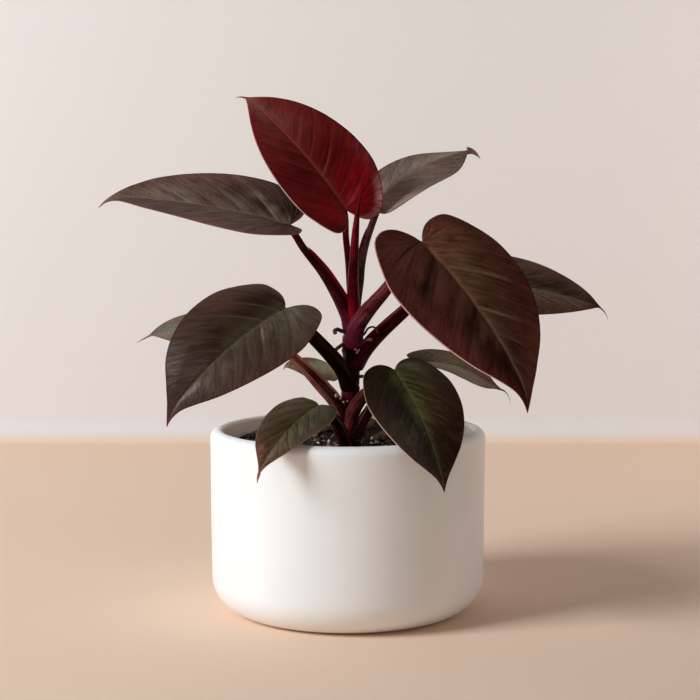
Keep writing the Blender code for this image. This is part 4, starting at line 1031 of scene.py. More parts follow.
def blade_piece(name, leaf, materials):
    """The blade as one thin closed leaf, its two faces in their own materials."""
    rows, columns = BLADE_ROWS, BLADE_COLUMNS
    size = (rows + 1) * (columns + 1)
    points, values, faces, backs = [], [], [], []
    for side in (1, -1):
        start = sum(len(p) for p in points)
        half_points, half_values = blade_half(leaf, side)
        points.append(half_points)
        values.append(half_values)
        edge = np.arange(rows + 1) * (columns + 1) + columns + start
        rim = np.arange(rows + 1) + start + 2 * size
        faces += grid_faces(rows, columns, start, side < 0).tolist()
        for a, b in ((edge, rim), (rim, edge + size)):
            faces += np.stack([a[:-1], a[1:], b[1:], b[:-1]], -1).tolist()
        faces += grid_faces(rows, columns, start + size, side > 0).tolist()
        backs += [0] * (rows * columns + 2 * rows) + [1] * (rows * columns)
    if "drip" in leaf:
        start = sum(len(p) for p in points)
        strip, quads = drip_tip(leaf)
        points.append(strip)
        on_tip = {"along": 1.0, "across": 5.0}
        values.append({label: np.full(len(strip), on_tip.get(label, 0.0)) for label in values[0]})
        faces += [[i + start for i in quad] for quad in quads]
        shows_back = len(leaf["drip"]) > 2
        backs += [int(shows_back)] * len(quads)
    values = {label: np.concatenate([v[label] for v in values]) for label in values[0]}
    points = np.concatenate(points)
    obj = piece(name + "_surface", points, faces, materials, name + "_blade", values)
    obj.data.polygons.foreach_set("material_index", backs)
    weld(obj)


def tube_frames(axis, count):
    """Centres, tangents, open side, its cross direction and radii along an axis."""
    fine = spline(axis, count)
    centre = fine[:, :3]
    tangent = unit(np.gradient(centre, axis=0))
    outward = (centre[-1] - centre[0]) * [1.0, 1.0, 0.0]
    reach = np.linalg.norm(outward)
    outward = outward / reach if reach > 3.0 else np.array([1.0, 0.0, 0.0])
    inward = np.array([0.0, 0.0, 0.3]) - outward
    open_side = unit(inward - tangent * (tangent @ inward)[:, None])
    return centre, tangent, open_side, np.cross(tangent, open_side), fine[:, 3]


def tube(axis, count, sides, profile, turn=0.0):
    """Points, faces and values (lengthwise and round) of a tube with domed ends."""
    centre, tangent, open_side, beside, radius = tube_frames(axis, count)
    phi = around(sides)
    s = np.linspace(0.0, 1.0, count)
    radius = radius[:, None] * np.ones(sides)
    radius = profile(radius, s[:, None], phi[None, :], centre[:, 2:3])
    turned = (phi + np.radians(turn))[None, :, None]
    spoke = open_side[:, None] * np.cos(turned) + beside[:, None] * np.sin(turned)
    rings = centre[:, None] + spoke * radius[..., None]
    domes = []
    for end, direction in ((0, -tangent[0]), (-1, tangent[-1])):
        for a in np.radians(DOME_ANGLES):
            ring = centre[end] + (rings[end] - centre[end]) * np.cos(a)
            domes.append(ring + direction * (radius[end].mean() * 0.6 * np.sin(a)))
    rings = np.concatenate([domes[2::-1], rings, domes[3:]])
    added = (len(DOME_ANGLES), len(DOME_ANGLES))
    values = {
        "length": np.repeat(np.pad(s, added, "edge"), sides),
        "facing": np.tile(np.cos(phi), len(rings)),
        "flank": np.tile(np.sin(phi), len(rings)),
        "aside": np.pad(spoke[..., 0], (added, (0, 0)), "edge").ravel(),
    }
    return rings.reshape(-1, 3), capped_faces(len(rings), sides), values


def petiole_axis(name, leaf):
    """Stations of the petiole, led on under the foot of the blade to its midrib."""
    centre, _, _, normal = midrib_frames(leaf, np.array([0.0, 0.09]))
    tip = PETIOLES[name]["tip"]
    foot = (*(centre[0] - normal[0] * (tip + 0.35)), tip)
    under = (*(centre[1] - normal[1] * (0.45 * tip + 0.95)), 0.45 * tip)
    return PETIOLES[name]["axis"] + (foot, under)


def petiole_profile(radius, s, phi, _):
    """Round back, a shallow channel on the open side, and fine lengthwise ribs."""
    away = np.abs((phi + np.pi) % (2 * np.pi) - np.pi)
    channel = 0.16 * bell(away, 0.5) * (1 - s**3)
    ribs = 0.012 * np.cos(11 * phi) + 0.007 * np.cos(23 * phi + 2 * s)
    return radius * (1 - channel + ribs) * (1 + 0.28 * bell(s, 0.07))


def sheath_wing(axis, sheath, turn, hand):
    """Inner and outer sheet of one wing: a strip that ends in a free pointed tip."""
    start, stop, height, free, spread = sheath
    centre, _, open_side, beside, radius = tube_frames(axis, SHEATH_STATIONS)
    length = np.linalg.norm(np.diff(centre, axis=0), axis=1).sum()
    i = np.linspace(0.0, 1.0, SHEATH_ROWS + 1)[:, None]
    j = np.linspace(0.0, 1.0, SHEATH_COLUMNS + 1)[None, :]
    lead = free / length * j**1.5 * np.clip((i - 0.6) / 0.4, 0, 1) ** 2
    at = start + (stop - start) * i + lead
    grid = np.linspace(0.0, 1.0, SHEATH_STATIONS)
    middle, up, over = (look_up(at, grid, table) for table in (centre, open_side, beside))
    rise = height * np.sin(np.pi / 2 * np.clip(i / 0.35, 0, 1)) ** 1.2
    rise = rise * (1 - 0.25 * i) * (1 - np.clip((i - 0.9) / 0.1, 0, 1) ** 2 * 0.55)
    angle = np.radians(spread) * hand * (1 - 0.32 * j * (1 - 0.5 * i)) + np.radians(turn)
    reach = np.interp(at, grid, radius) * 0.93 + rise * j
    spoke = up * np.cos(angle)[..., None] + over * np.sin(angle)[..., None]
    sheet = middle + spoke * reach[..., None]
    along, across = np.gradient(sheet, axis=(0, 1))
    normal = unit(np.cross(along, across) + 1e-9) * hand
    half = (0.30 * (1 - 0.6 * j) * (1 - 0.5 * i**4))[..., None]
    return sheet - normal * half, sheet + normal * half


def sheath_faces(start, flip):
    """Faces of a closed strip stored as its inner, then its outer, sheet."""
    rows, columns = SHEATH_ROWS, SHEATH_COLUMNS
    size = (rows + 1) * (columns + 1)
    grid = np.arange(size).reshape(rows + 1, columns + 1) + start
    ring = np.concatenate([grid[0, :-1], grid[:-1, -1], grid[-1, :0:-1], grid[:0:-1, 0]])
    after = np.roll(ring, -1)
    rim = np.stack([ring, after, after + size, ring + size], -1)
    return np.concatenate([
        grid_faces(rows, columns, start, flip),
        grid_faces(rows, columns, start + size, not flip),
        rim[:, ::-1] if flip else rim,
    ]).tolist()


def petiole_piece(name, leaf, material):
    """The petiole with the two wings of its sheath."""
    sheath, turn = PETIOLES[name]["sheath"], PETIOLES[name]["turn"]
    axis = petiole_axis(name, leaf)
    points, faces, values = tube(axis, *PETIOLE_MESH, petiole_profile, turn)
    values["wing"] = np.zeros(len(points))
    points = [points]
    gathered = {label: [numbers] for label, numbers in values.items()}
    s = np.repeat(np.linspace(0.0, sheath[1], SHEATH_ROWS + 1), SHEATH_COLUMNS + 1)
    j = np.tile(np.linspace(0.0, 1.0, SHEATH_COLUMNS + 1), SHEATH_ROWS + 1)
    for hand in (1, -1):
        inner, outer = sheath_wing(axis, sheath, turn, hand)
        faces += sheath_faces(sum(len(p) for p in points), hand < 0)
        points += [inner.reshape(-1, 3), outer.reshape(-1, 3)]
        outwards = unit(outer - inner)[..., 0].ravel()
        gathered["length"] += [s, s]
        gathered["facing"] += [1 - 0.4 * j, 0.2 - 0.6 * j]
        gathered["flank"] += [hand * (0.3 + 0.5 * j), hand * (0.8 + 0.2 * j)]
        gathered["aside"] += [-outwards, outwards]
        gathered["wing"] += [0.4 + 0.6 * j, j**0.8]
    values = {label: np.concatenate(parts) for label, parts in gathered.items()}
    points = np.concatenate(points)
    weld(piece(name + "_stalk", points, faces, [material], name + "_petiole", values))


def stem_profile(radius, s, phi, height):
    """Node rings, shallow leaf scars and fine ribs round the stem."""
    ring = 0.0
    for node in NODE_HEIGHTS:
        ring = ring + 0.30 * bell(height - node, 0.9) - 0.22 * bell(height - node - 1.9, 0.7)
    ribs = 0.05 * np.cos(9 * phi + 3 * s) + 0.03 * np.cos(21 * phi)
    return radius - 0.15 + ring + ribs


def spike_profile(radius, s, phi, _):
    """A rolled leaf: its outer edge steps up and winds slowly round the spike."""
    turn = ((phi - 3.9 + 1.1 * s) % (2 * np.pi)) / (2 * np.pi)
    return radius * (1 + 0.16 * (turn - 0.5) * (1 - 0.5 * s)) + 0.03 * np.cos(17 * phi)


def root_profile(radius, s, phi, _):
    """A wrinkled root with a blunt, slightly swollen end."""
    wrinkle = 0.05 * np.sin(58 * s + 1.5 * np.sin(phi)) + 0.04 * np.cos(5 * phi + 9 * s)
    return radius * (0.94 + 0.22 * bell(s - 0.96, 0.07) + wrinkle)


def skin_material(name, look, rough, strands=3.2, speckle=0.5):
    """Skin: fine streaks, its own foot and top, on a petiole a red sheath, and painted shade on its
    +X side.
    """
    s = Shader(name, {"IOR": 1.18, "Specular IOR Level": 0.5, "Specular Tint": (255, 150, 160)})
    names = ("length", "facing", "flank", "aside", "wing")
    length, facing, flank, aside, wing = s.attributes(names)
    lines = s.noise(1.0, 4, s.vector(facing * strands, flank * strands, length * 4.0), 0.65)
    cloud = s.noise(120.0, 3)
    tone = lines * 0.5 + cloud * 0.3 + s.noise(620.0, 2) * 0.2
    colour = s.mix(tone.step(0.40, 0.62), look["dark"], look["light"])
    colour = s.mix(length.step(0.02, 0.30, 0.85, 0.0), colour, look["foot"])
    colour = s.mix(length.step(0.62, 0.98, 0.0, 0.85), colour, look["top"])
    if "red" in look:
        low = look.get("red_from", 0.0)
        colour = s.mix(wing.step(0.05, 0.85) * length.step(low, low + 0.2), colour, look["red"])
        colour = s.mix(wing.step(0.90, 1.0, 0.0, 0.35), colour, look["light"])
    colour = s.shade(colour, tone.step(0.36, 0.64, 0.72, 1.28))
    # Painted shade: darker on the side that faces +X, away from the window at the left.
    colour = s.shade(colour, aside.step(-0.2, 0.95, 1.12, 0.42))
    for height, spread, low, high, strength, band in look.get("bands", ()):
        zone = abs(s.part(2) - height * MM).step(0.4 * spread * MM, spread * MM, strength, 0.0)
        zone = zone * s.part(0).step((high - 1.0) * MM, (high + 1.0) * MM, 1.0, 0.0)
        zone = zone * s.part(0).step((low - 1.0) * MM, (low + 1.0) * MM)
        colour = s.mix(zone, colour, band)
    dots = s.cells(760.0).step(0.08, 0.20, speckle, 0.0) * cloud.step(0.45, 0.60)
    colour = s.mix(dots, colour, look["dots"])
    s.bump(lines + s.noise(1100.0, 2) * 0.35, 0.35, 0.00035)
    return s.finish(colour, cloud.step(0.3, 0.7, rough - 0.05, rough + 0.12))


def half_colour(s, stops, along):
    """One half's colour, eased from its foot over its middle to its far end."""
    near = s.mix(along.step(-0.08, 0.34), stops[0], stops[1])
    return s.mix(along.step(0.34, 0.76), near, stops[2])


def patch_amount(patch, at, streak):
    """Strength of one local patch, broken up along the veins."""
    _, strength, side, along, along_spread, reach, reach_spread = patch
    amount = abs(at["along"] - along).step(0.0, along_spread, 1.0, 0.0)
    amount = amount * abs(at["reach"] - reach).step(0.0, reach_spread, 1.0, 0.0)
    amount = amount * (at["side"] * side).step(-0.2, 0.2)
    return amount * streak.step(0.38, 0.60, 0.3 * strength, strength)


def mark_amount(mark, at, grain):
    """Strength of one vein that stands out, from its near to its far reach."""
    _, strength, side, count, width, near, far = mark
    amount = abs(at["count"] - count).step(0.25 * width, 1.3 * width, strength, 0.0)
    amount = amount * (at["side"] * side).step(-0.2, 0.2)
    amount = amount * at["reach"].step(near - 0.04, near + 0.06)
    amount = amount * at["reach"].step(far - 0.15, far + 0.10, 1.0, 0.0)
    return amount * grain.step(0.38, 0.60, 0.55, 1.0)


def vein_nearness(count, parts=1.0):
    """1 on a side vein, 0 midway between two; parts adds weaker ones between."""
    return abs((count * parts).math("FRACT") * 2.0 - 1.0)


def blade_upper(name, look, leaf_width, seed):
    """Upper face: two-toned halves, streaks along the veins, painted fold shade, ribs, tip, painted
    sheen and edge.
    """
    gloss = 4.0 * look["gloss"]
    s = Shader(name, {"IOR": 1.2, "Specular IOR Level": gloss, "Specular Tint": look["tint"]})
    names = ("strand", "count", "vigour", "reach", "along", "across", "side")
    at = dict(zip(names, s.attributes(names)))
    strand, count, vigour, reach, along, across, side = at.values()
    lane = side * 7.3 + seed
    streak = s.noise(1.0, 4, s.vector(strand * 105.0, reach * 3.0, lane), 0.66)
    hatch = s.noise(1.0, 2, s.vector(strand * 330.0, reach * 12.0, lane), 0.6)
    cloud = s.noise(42.0, 4, roughness=0.6)
    grain = s.noise(1250.0, 2)
    half = across.step(-0.7, 0.7)
    colour = s.mix(half, *(half_colour(s, look[label], along) for label in ("left", "right")))
    colour = s.mix(reach.step(0.35, 1.0, 0.0, 0.75), colour, look["outer"])
    for patch in look["patches"]:
        colour = s.mix(patch_amount(patch, at, cloud), colour, patch[0])
    glow = (reach + (streak - 0.5) * 0.5).step(0.0, 0.32, 1.0, 0.0)
    glow = glow * along.step(0.70, 1.0, look["glow_amount"], 0.1)
    colour = s.mix(glow * cloud.step(0.35, 0.6, 0.45, 1.2), colour, look["glow"])
    tone = streak * 0.46 + hatch * 0.10 + cloud * 0.24 + grain * 0.20
    depth = look["depth"]
    colour = s.shade(colour, tone.step(0.395, 0.605, 1 - depth, 1 + depth))
    vein_colour = s.mix(half, *look["veins"])
    fade = reach.step(0.35, 0.92, 1.0, 0.0)
    own = s.noise(1.0, 1, s.vector(count * 0.55, reach * 2.2, lane))
    line = vein_nearness(count).step(0.80, 0.97) * fade
    line = line * vigour * own.step(0.36, 0.60, 0.55, 0.95)
    colour = s.mix(line * grain.step(0.35, 0.6, 0.6, 1.0), colour, vein_colour)
    between = vein_nearness(count, 3.0).step(0.72, 1.0, 0.0, look["between"])
    colour = s.mix(between * fade * streak.step(0.42, 0.58), colour, vein_colour)
    # Painted shade in the fold beside each side vein, where the blade dips.
    fold = (count - half.step(0.0, 1.0, *look["fold_at"]) + 0.5).math("FRACT")
    fold_shade = abs(fold - 0.5).step(0.02, look["fold_shade_width"], 1.0, 0.0)
    fold_shade = fold_shade * reach.step(0.0, 0.06) * reach.step(0.12, 0.80, look["fold_shade"], 0.0)
    fold_shade = fold_shade * vigour * own.step(0.38, 0.60, 0.35, 1.0)
    colour = s.shade(colour, fold_shade * -1.0 + 1.0)
    for mark in look["marks"]:
        colour = s.mix(mark_amount(mark, at, grain), colour, mark[0])
    foot, end = look["rib_width"]
    rib_width = along.step(0.0, 1.0, leaf_width * foot, leaf_width * end)
    rib = abs(across).math("DIVIDE", rib_width).step(0.1, 1.4, 1.0, 0.0)
    rib = rib * along.step(0.10, 0.80, *look["rib_strength"])
    colour = s.mix(rib * grain.step(0.35, 0.6, 0.7, 1.0), colour, look["rib"])
    colour = s.mix(along.step(0.86, 1.0), colour, look["tip"])
    # Painted highlights and sheen, laid over the finished colour.
    for patch in look["painted_sheen"]:
        colour = s.mix(patch_amount(patch, at, streak), colour, patch[0])
    dust = s.cells(900.0).step(0.10, 0.26, 1.0, 0.0) * cloud.step(0.50, 0.66, 0.0, look["dust"])
    colour = s.mix(dust, colour, DUST)
    # The rim of each half: its own colour where dark, a painted rim highlight where pale.
    colour = s.mix(reach.step(0.975, 1.0, 0.0, 0.9), colour, s.mix(half, *look["edge"]))
    s.bump(streak * 0.7 + s.cells(1500.0) * 0.35 + hatch * 0.5, 0.40, 0.00032)
    rough = look["rough"]
    return s.finish(colour, streak.step(0.25, 0.75, rough - 0.08, rough + 0.12))


def blade_under(name, look):
    """Lower face: duller, with raised veins and midrib in a lighter tone."""
    s = Shader(name, {"IOR": 1.2, "Specular IOR Level": 0.6})
    names = ("strand", "count", "reach", "across", "side")
    strand, count, reach, across, side = s.attributes(names)
    streak = s.noise(1.0, 4, s.vector(strand * 80.0, reach * 2.6, side * 5.1), 0.6)
    cloud = s.noise(42.0, 3)
    tone = streak * 0.5 + cloud * 0.5
    light = look.get("under_light", look["left"][1])
    colour = s.mix(tone.step(0.38, 0.62), look["under"], light)
    colour = s.shade(colour, tone.step(0.38, 0.62, 0.75, 1.2))
    line = vein_nearness(count).step(0.80, 1.0) * reach.step(0.4, 1.0, 0.6, 0.0)
    colour = s.mix(line, colour, look["rib"])
    colour = s.mix(abs(across).step(0.5, 1.9, 0.75, 0.0), colour, look["rib"])
    # The same rim colours: dark ones its own, pale ones a painted rim highlight.
    edge = s.mix(across.step(-0.7, 0.7), *look["edge"])
    colour = s.mix(reach.step(0.975, 1.0, 0.0, 0.8), colour, edge)
    s.bump(streak + s.cells(1300.0), 0.30, 0.00030)
    return s.finish(colour, cloud.step(0.3, 0.7, 0.48, 0.62))


def glaze_material():
    """Satin white glaze: faint clouds, pinholes, a soft unevenness and painted warm light inside.
    """
    s = Shader("white glaze", {"Coat Weight": 0.25, "Coat Roughness": 0.28})
    (inside,) = s.attributes(("inside",))
    cloud = s.noise(14.0, 3)
    fine = s.noise(160.0, 2)
    colour = s.mix(cloud.step(0.3, 0.7), (236, 235, 233), (243, 242, 241))
    # Painted warm light in the cavity: the glaze is tinted warm there, as if lit by light bounced
    # off the soil.
    colour = s.mix(inside, colour, (252, 238, 222))
    speck = s.cells(330.0).step(0.035, 0.07, 0.35, 0.0) * s.noise(60.0, 1).step(0.60, 0.68)
    colour = s.mix(speck, colour, (176, 160, 140))
    s.bump(cloud + fine * 0.15, 0.25, 0.0006)
    return s.finish(colour, fine.step(0.3, 0.7, 0.38, 0.50))


def soil_material():
    """Dark, moist potting mix between its loose grains."""
    s = Shader("potting mix", {"Specular IOR Level": 0.3})
    tone = s.noise(260.0, 4) * 0.7 + s.noise(40.0, 2) * 0.3
    colour = s.mix(tone.step(0.35, 0.65), (13, 8, 6), (40, 27, 20))
    s.bump(s.noise(900.0, 4), 0.9, 0.0012)
    return s.finish(colour, tone.step(0.3, 0.7, 0.98, 0.82))


def crumb_material(name, dark, light, rough, bump_scale):
    """Grains: each has its own tone, with fine pits."""
    s = Shader(name, {"Specular IOR Level": 0.35})
    (own,) = s.attributes(("tone",))
    fine = s.noise(700.0, 3)
    colour = s.mix((own * 0.7 + fine * 0.3).step(0.15, 0.85), dark, light)
    s.bump(s.noise(bump_scale, 3), 0.8, 0.0006)
    return s.finish(colour, fine.step(0.3, 0.7, rough, rough - 0.15))


def bark_material():
    """Bark: long fibres, flaky layers and pale worn edges."""
    s = Shader("bark", {"Specular IOR Level": 0.3})
    grain, run = s.attributes(("grain", "run"))
    fibre = s.noise(1.0, 4, s.vector(grain * 34.0, run * 5.0, 0.0))
    cloud = s.noise(150.0, 3)
    tone = fibre * 0.6 + cloud * 0.4
    colour = s.mix(tone.step(0.35, 0.65), (38, 23, 16), (124, 88, 66))
    colour = s.mix(cloud.step(0.58, 0.72, 0.0, 0.6), colour, (136, 120, 104))
    s.bump(fibre + s.noise(800.0, 3), 0.9, 0.0010)
    return s.finish(colour, fibre.step(0.3, 0.7, 0.92, 0.72))


def arc(centre, radius, start, stop, steps):
    """Points of an arc in the plane of the pot's profile."""
    angles = np.radians(np.linspace(start, stop, steps + 1))
    return centre + radius * np.column_stack([np.cos(angles), np.sin(angles)])


def pot_profile(outer, top):
    """Half section of the pot as (radius, height), from under the foot to inside."""
    inner = outer - POT_WALL
    fillet, rim, lip, cove = POT_FOOT_FILLET, POT_RIM_OUTER, POT_RIM_INNER, POT_CAVITY_FILLET
    wall_ends = (POT_FOOT_RADIUS, fillet), (outer, top - rim)
    inside_ends = (inner, top - lip), (inner, POT_FLOOR + cove)
    return np.concatenate([
        POT_FOOT_RING,
        arc((POT_FOOT_RADIUS - fillet, fillet), fillet, -90, 0, 18),
        np.linspace(*wall_ends, 26)[1:-1],
        arc((outer - rim, top - rim), rim, 0, 90, 12),
        [(inner + lip + (rim - lip) * 0.2, top)],
        arc((inner + lip, top - lip), lip, 90, 180, 9),
        np.linspace(*inside_ends, 14)[1:-1],
        arc((inner - cove, POT_FLOOR + cove), cove, 0, -90, 8),
        [(30.0, POT_FLOOR), (0.0, POT_FLOOR)],
    ])


def build_pot():
    """The glazed pot, turned with the faint unevenness of slip-cast ware."""
    outer, _, top = box_mm("ceramic_pot")[1]
    profile = pot_profile(outer, top)
    phi = around(POT_SIDES)
    radius, height = profile[:, :1], profile[:, 1:]
    uneven = 0.10 * np.sin(2 * phi + 0.03 * height) + 0.05 * np.sin(5 * phi + 0.08 * height)
    r = radius + (uneven - 0.15) * (radius > 60)
    points = np.stack([r * np.cos(phi), r * np.sin(phi), height + 0 * phi], -1)
    faces = grid_faces(len(profile) - 1, POT_SIDES, wrap=True)
    lip_radius = outer - POT_WALL + POT_RIM_INNER
    in_cavity = (radius < lip_radius) & (height > POT_FLOOR - 0.5)
    values = {"inside": np.repeat(in_cavity.astype(float), POT_SIDES)}
    skin = [glaze_material()]
    weld(piece("glazed_pot", points.reshape(-1, 3), faces, skin, "ceramic_pot", values))


def soil_height(x, y):
    """Top of the soil: waves and lumps, a bank behind the stem and a heap at the left."""
    radius = np.hypot(x, y) / (POT_RADIUS - POT_WALL)
    waves = np.sin(0.09 * x + 0.4) * np.cos(0.11 * y - 0.2) + 0.6 * np.sin(0.05 * (x - y))
    lumps = np.sin(0.55 * x + 1.3 * np.sin(0.31 * y)) * np.sin(0.62 * y + 1.1 * np.sin(0.27 * x))
    lumps = lumps + 0.5 * np.sin(1.3 * x + 0.9 * y) * np.sin(1.1 * y - 0.7 * x)
    back = np.clip((y - 36.0) / 26.0, 0, 1)
    bank = 6.0 * back**2 * (3 - 2 * back) * bell(x - 6.0, 36.0)
    heap = 3.4 * bell(x + 53.0, 15.0) * bell(y - 40.0, 22.0)
    return SOIL_TOP + (0.9 * waves + 0.45 * lumps) * (1 - radius**6) + bank + heap - 0.5


def build_soil():
    """The soil's surface as a lumpy lid on a plain plug."""
    (_, _, low), (inner, _, _) = box_mm("potting_soil")
    plug = ((1.0, 60.0), (1.0, 24.0), (0.86, low + 1.0), (0.0, low + 1.0))
    reach = np.concatenate([np.linspace(0.0, 1.0, SOIL_RINGS + 1), [k for k, _ in plug]])
    radius, phi = inner * reach[:, None], around(SOIL_SIDES)
    x, y = radius * np.cos(phi), radius * np.sin(phi)
    z = soil_height(x, y)
    z[-len(plug):] = [[height] for _, height in plug]
    points = np.stack([x, y, z], -1).reshape(-1, 3)
    faces = grid_faces(len(reach) - 1, SOIL_SIDES, wrap=True)
    weld(piece("soil_surface", points, faces, [soil_material()], "potting_soil"))


def icosphere(subdivisions):
    work = bmesh.new()
    bmesh.ops.create_icosphere(work, subdivisions=subdivisions, radius=1.0)
    points = np.array([v.co[:] for v in work.verts])
    faces = np.array([[v.index for v in f.verts] for f in work.faces])
    work.free()
    return points, faces


def copied_faces(faces, count, size):
    """Faces of many copies of one mesh of size points, stored one after another."""
    return (faces[None] + (np.arange(count) * size)[:, None, None]).reshape(-1, faces.shape[1])


def random_turns(seed, count):
    """Random rotation matrices, from normalised quaternions."""
    w, x, y, z = unit(seed.normal(size=(count, 4))).T
    rows = (
        (1 - 2 * (y * y + z * z), 2 * (x * y - z * w), 2 * (x * z + y * w)),
        (2 * (x * y + z * w), 1 - 2 * (x * x + z * z), 2 * (y * z - x * w)),
        (2 * (x * z - y * w), 2 * (y * z + x * w), 1 - 2 * (x * x + y * y)),
    )
    return np.moveaxis(np.array(rows), -1, 0)


def scatter_spots(seed, count, keep_out):
    """Random places on the soil, clear of the stem and the pot's wall."""
    spots = []
    while len(spots) < count:
        x, y = seed.uniform(-STREWN_SQUARE, STREWN_SQUARE, 2)
        if keep_out < np.hypot(x - STEM_X, y) and np.hypot(x, y) < STREWN_RADIUS:
            spots.append((x, y))
    return np.array(spots)


def grains(name, material, seed, count, sizes, stretch, lift, rough):
    """Many loose grains joined in one mesh, each a broken, turned lump."""
    seed = np.random.default_rng(seed)
    ball, faces = icosphere(2)
    spots = scatter_spots(seed, count, 7.0)
    size = sizes[0] + (sizes[1] - sizes[0]) * seed.random(count) ** 2.2
    scale = size[:, None] * (1 - stretch + 2 * stretch * seed.random((count, 3))) / 2
    dent = 1 - rough + 2 * rough * seed.random((count, len(ball)))
    local = ball[None] * dent[..., None] * scale[:, None]
    local = np.einsum("nij,nkj->nki", random_turns(seed, count), local)
    height = soil_height(spots[:, 0], spots[:, 1]) + size * lift
    points = (local + np.column_stack([spots, height])[:, None]).reshape(-1, 3)
    values = {"tone": np.repeat(seed.random(count) ** 2.2, len(ball))}
    faces = copied_faces(faces, count, len(ball))
    piece(name, points, faces, [material], None, values, smooth=False)


def chip_points(seed, length, width, thick):
    """A flake of bark about its own centre: (points, faces, grain, run)."""
    phi = around(FLAKE_SIDES)
    jag = 0.5 * (0.80 + 0.22 * seed.random(FLAKE_SIDES))
    square = (np.abs(np.cos(phi)) ** 5 + np.abs(np.sin(phi)) ** 5) ** (-1 / 5)
    level = np.linspace(0.0, 1.0, FLAKE_LAYERS)[:, None]
    uneven = 0.05 * (seed.random((FLAKE_LAYERS, FLAKE_SIDES)) - 0.5)
    wall = 1 - 0.22 * np.abs(2 * level - 1) ** 4 + uneven
    lid = np.tile(FLAKE_INSETS, (FLAKE_SIDES, 1)).T
    shrink = np.concatenate([lid, wall, lid[::-1]])
    level = np.pad(level, ((len(lid), len(lid)), (0, 0)), "edge")
    u = length * jag * square * shrink * np.cos(phi)
    v = width * jag * square * shrink * np.sin(phi)
    ridge = 0.10 * thick * np.sin(v * 3.1 + 1.7 * np.sin(u * 0.5)) * level
    points = np.stack([u, v, thick * level + ridge], -1).reshape(-1, 3)
    grain = v / width + 0.5 * level
    return points, capped_faces(len(level), FLAKE_SIDES), grain.ravel(), (u / length).ravel()


def laid(points, heading, place):
    """Points turned by heading, in degrees, about +Z and moved to their place."""
    turn = np.radians(heading)
    u, v, w = points.T
    turned = (u * np.cos(turn) - v * np.sin(turn), u * np.sin(turn) + v * np.cos(turn), w)
    return np.column_stack(turned) + place


def build_chips(material):
    """The larger bark chips, each where the frame holds its solid."""
    for index, (name, (*size, heading)) in enumerate(BARK_CHIPS.items()):
        low, high = box_mm(name)
        points, faces, grain, run = chip_points(np.random.default_rng(CHIP_SEED + index), *size)
        place = (*(low + high)[:2] / 2, low[2] - 0.2)
        points = laid(points * [1.0, 1.0, 0.9], heading, place)
        values = {"grain": grain, "run": run}
        piece(name + "_flake", points, faces, [material], name, values)


def strewn_flakes(seed, count):
    """Rows like those of LEANING_FLAKES for small flakes at random places."""
    rows = []
    for x, y in scatter_spots(seed, count, 8.0):
        length = 3.0 + 6.0 * seed.random() ** 1.6
        width = length * (0.3 + 0.3 * seed.random())
        thick = 0.7 + 1.1 * seed.random()
        rows.append((x, y, length, width, thick, seed.uniform(0, 360), seed.normal(0, 0.28)))
    return rows


def build_litter(material):
    """The leaning flakes and small slivers of bark, joined in one mesh."""
    seed = np.random.default_rng(LITTER_SEED)
    strewn = strewn_flakes(seed, LITTER_COUNT)
    points, faces, total = [], [], 0
    values = {"grain": [], "run": []}
    for x, y, length, width, thick, heading, tilt in (*LEANING_FLAKES, *strewn):
        flake, quads, grain, run = chip_points(seed, length, width, thick)
        flake[:, 2] += flake[:, 0] * np.tan(tilt)
        points.append(laid(flake, heading, (x, y, soil_height(x, y) + 0.1)))
        faces += [[i + total for i in quad] for quad in quads]
        values["grain"].append(grain + 3 * seed.random())
        values["run"].append(run)
        total += len(flake)
    values = {label: np.concatenate(parts) for label, parts in values.items()}
    piece("bark_litter", np.concatenate(points), faces, [material], None, values)


def build_ground():
    """Soil, bark, dark crumbs and white perlite."""
    build_soil()
    bark = bark_material()
    build_chips(bark)
    build_litter(bark)
    crumb = crumb_material("soil crumbs", (10, 6, 5), (146, 108, 86), 0.95, 1400.0)
    grains("soil_crumbs", crumb, seed=5, count=1500, sizes=(0.9, 3.4), stretch=0.35,
           lift=0.12, rough=0.22)
    perlite = crumb_material("perlite", (196, 174, 166), (246, 232, 226), 0.9, 2200.0)
    grains("perlite_grains", perlite, seed=9, count=210, sizes=(0.8, 2.9), stretch=0.25,
           lift=0.22, rough=0.16)


def build_stem():
    """The stem, its root buds, the aerial roots and the rolled new leaf."""
    skin = skin_material("stem skin", SKIN_LOOKS["stem"], 0.46)
    points, faces, values = tube(MAIN_STEM, *STEM_MESH, stem_profile)
    piece("stem_surface", points, faces, [skin], "main_stem", values)
    young = skin_material("new leaf skin", SKIN_LOOKS["spike"], 0.36, 2.4, 0.3)
    points, faces, values = tube(NEW_LEAF_SPIKE, *SPIKE_MESH, spike_profile)
    piece("rolled_leaf", points, faces, [young], "new_leaf_spike", values)
    root = skin_material("root skin", SKIN_LOOKS["root"], 0.55)
    for name, axis in AERIAL_ROOTS.items():
        points, faces, values = tube(axis, *ROOT_MESH, root_profile)
        piece(name + "_surface", points, faces, [root], name, values)
    build_root_buds()


def build_root_buds():
    """The short pale root tips, joined in one mesh."""
    bud = crumb_material("root buds", (166, 108, 104), (228, 198, 192), 0.6, 900.0)
    ball, faces = icosphere(3)
    points = np.concatenate([ball * [r, r, r * 1.15] + [x, y, z] for x, y, z, r in ROOT_BUDS])
    values = {"tone": np.repeat(np.linspace(0.2, 0.9, len(ROOT_BUDS)), len(ball))}
    faces = copied_faces(faces, len(ROOT_BUDS), len(ball))
    piece("root_buds", points, faces, [bud], None, values)


def build_leaves():
    """Each leaf's blade, with its two faces, and its petiole."""
    for index, name in enumerate(LEAVES):
        leaf = seated_leaf(name)
        look = {**PLAIN_LOOK, **LOOKS[name]}
        upper = blade_upper(name + " upper face", look, leaf["width"], 3.0 * index)
        under = blade_under(name + " lower face", look)
        blade_piece(name, leaf, [upper, under])
        skin = skin_material(name + " stalk skin", SKIN_LOOKS[name], 0.42)
        petiole_piece(name, leaf, skin)


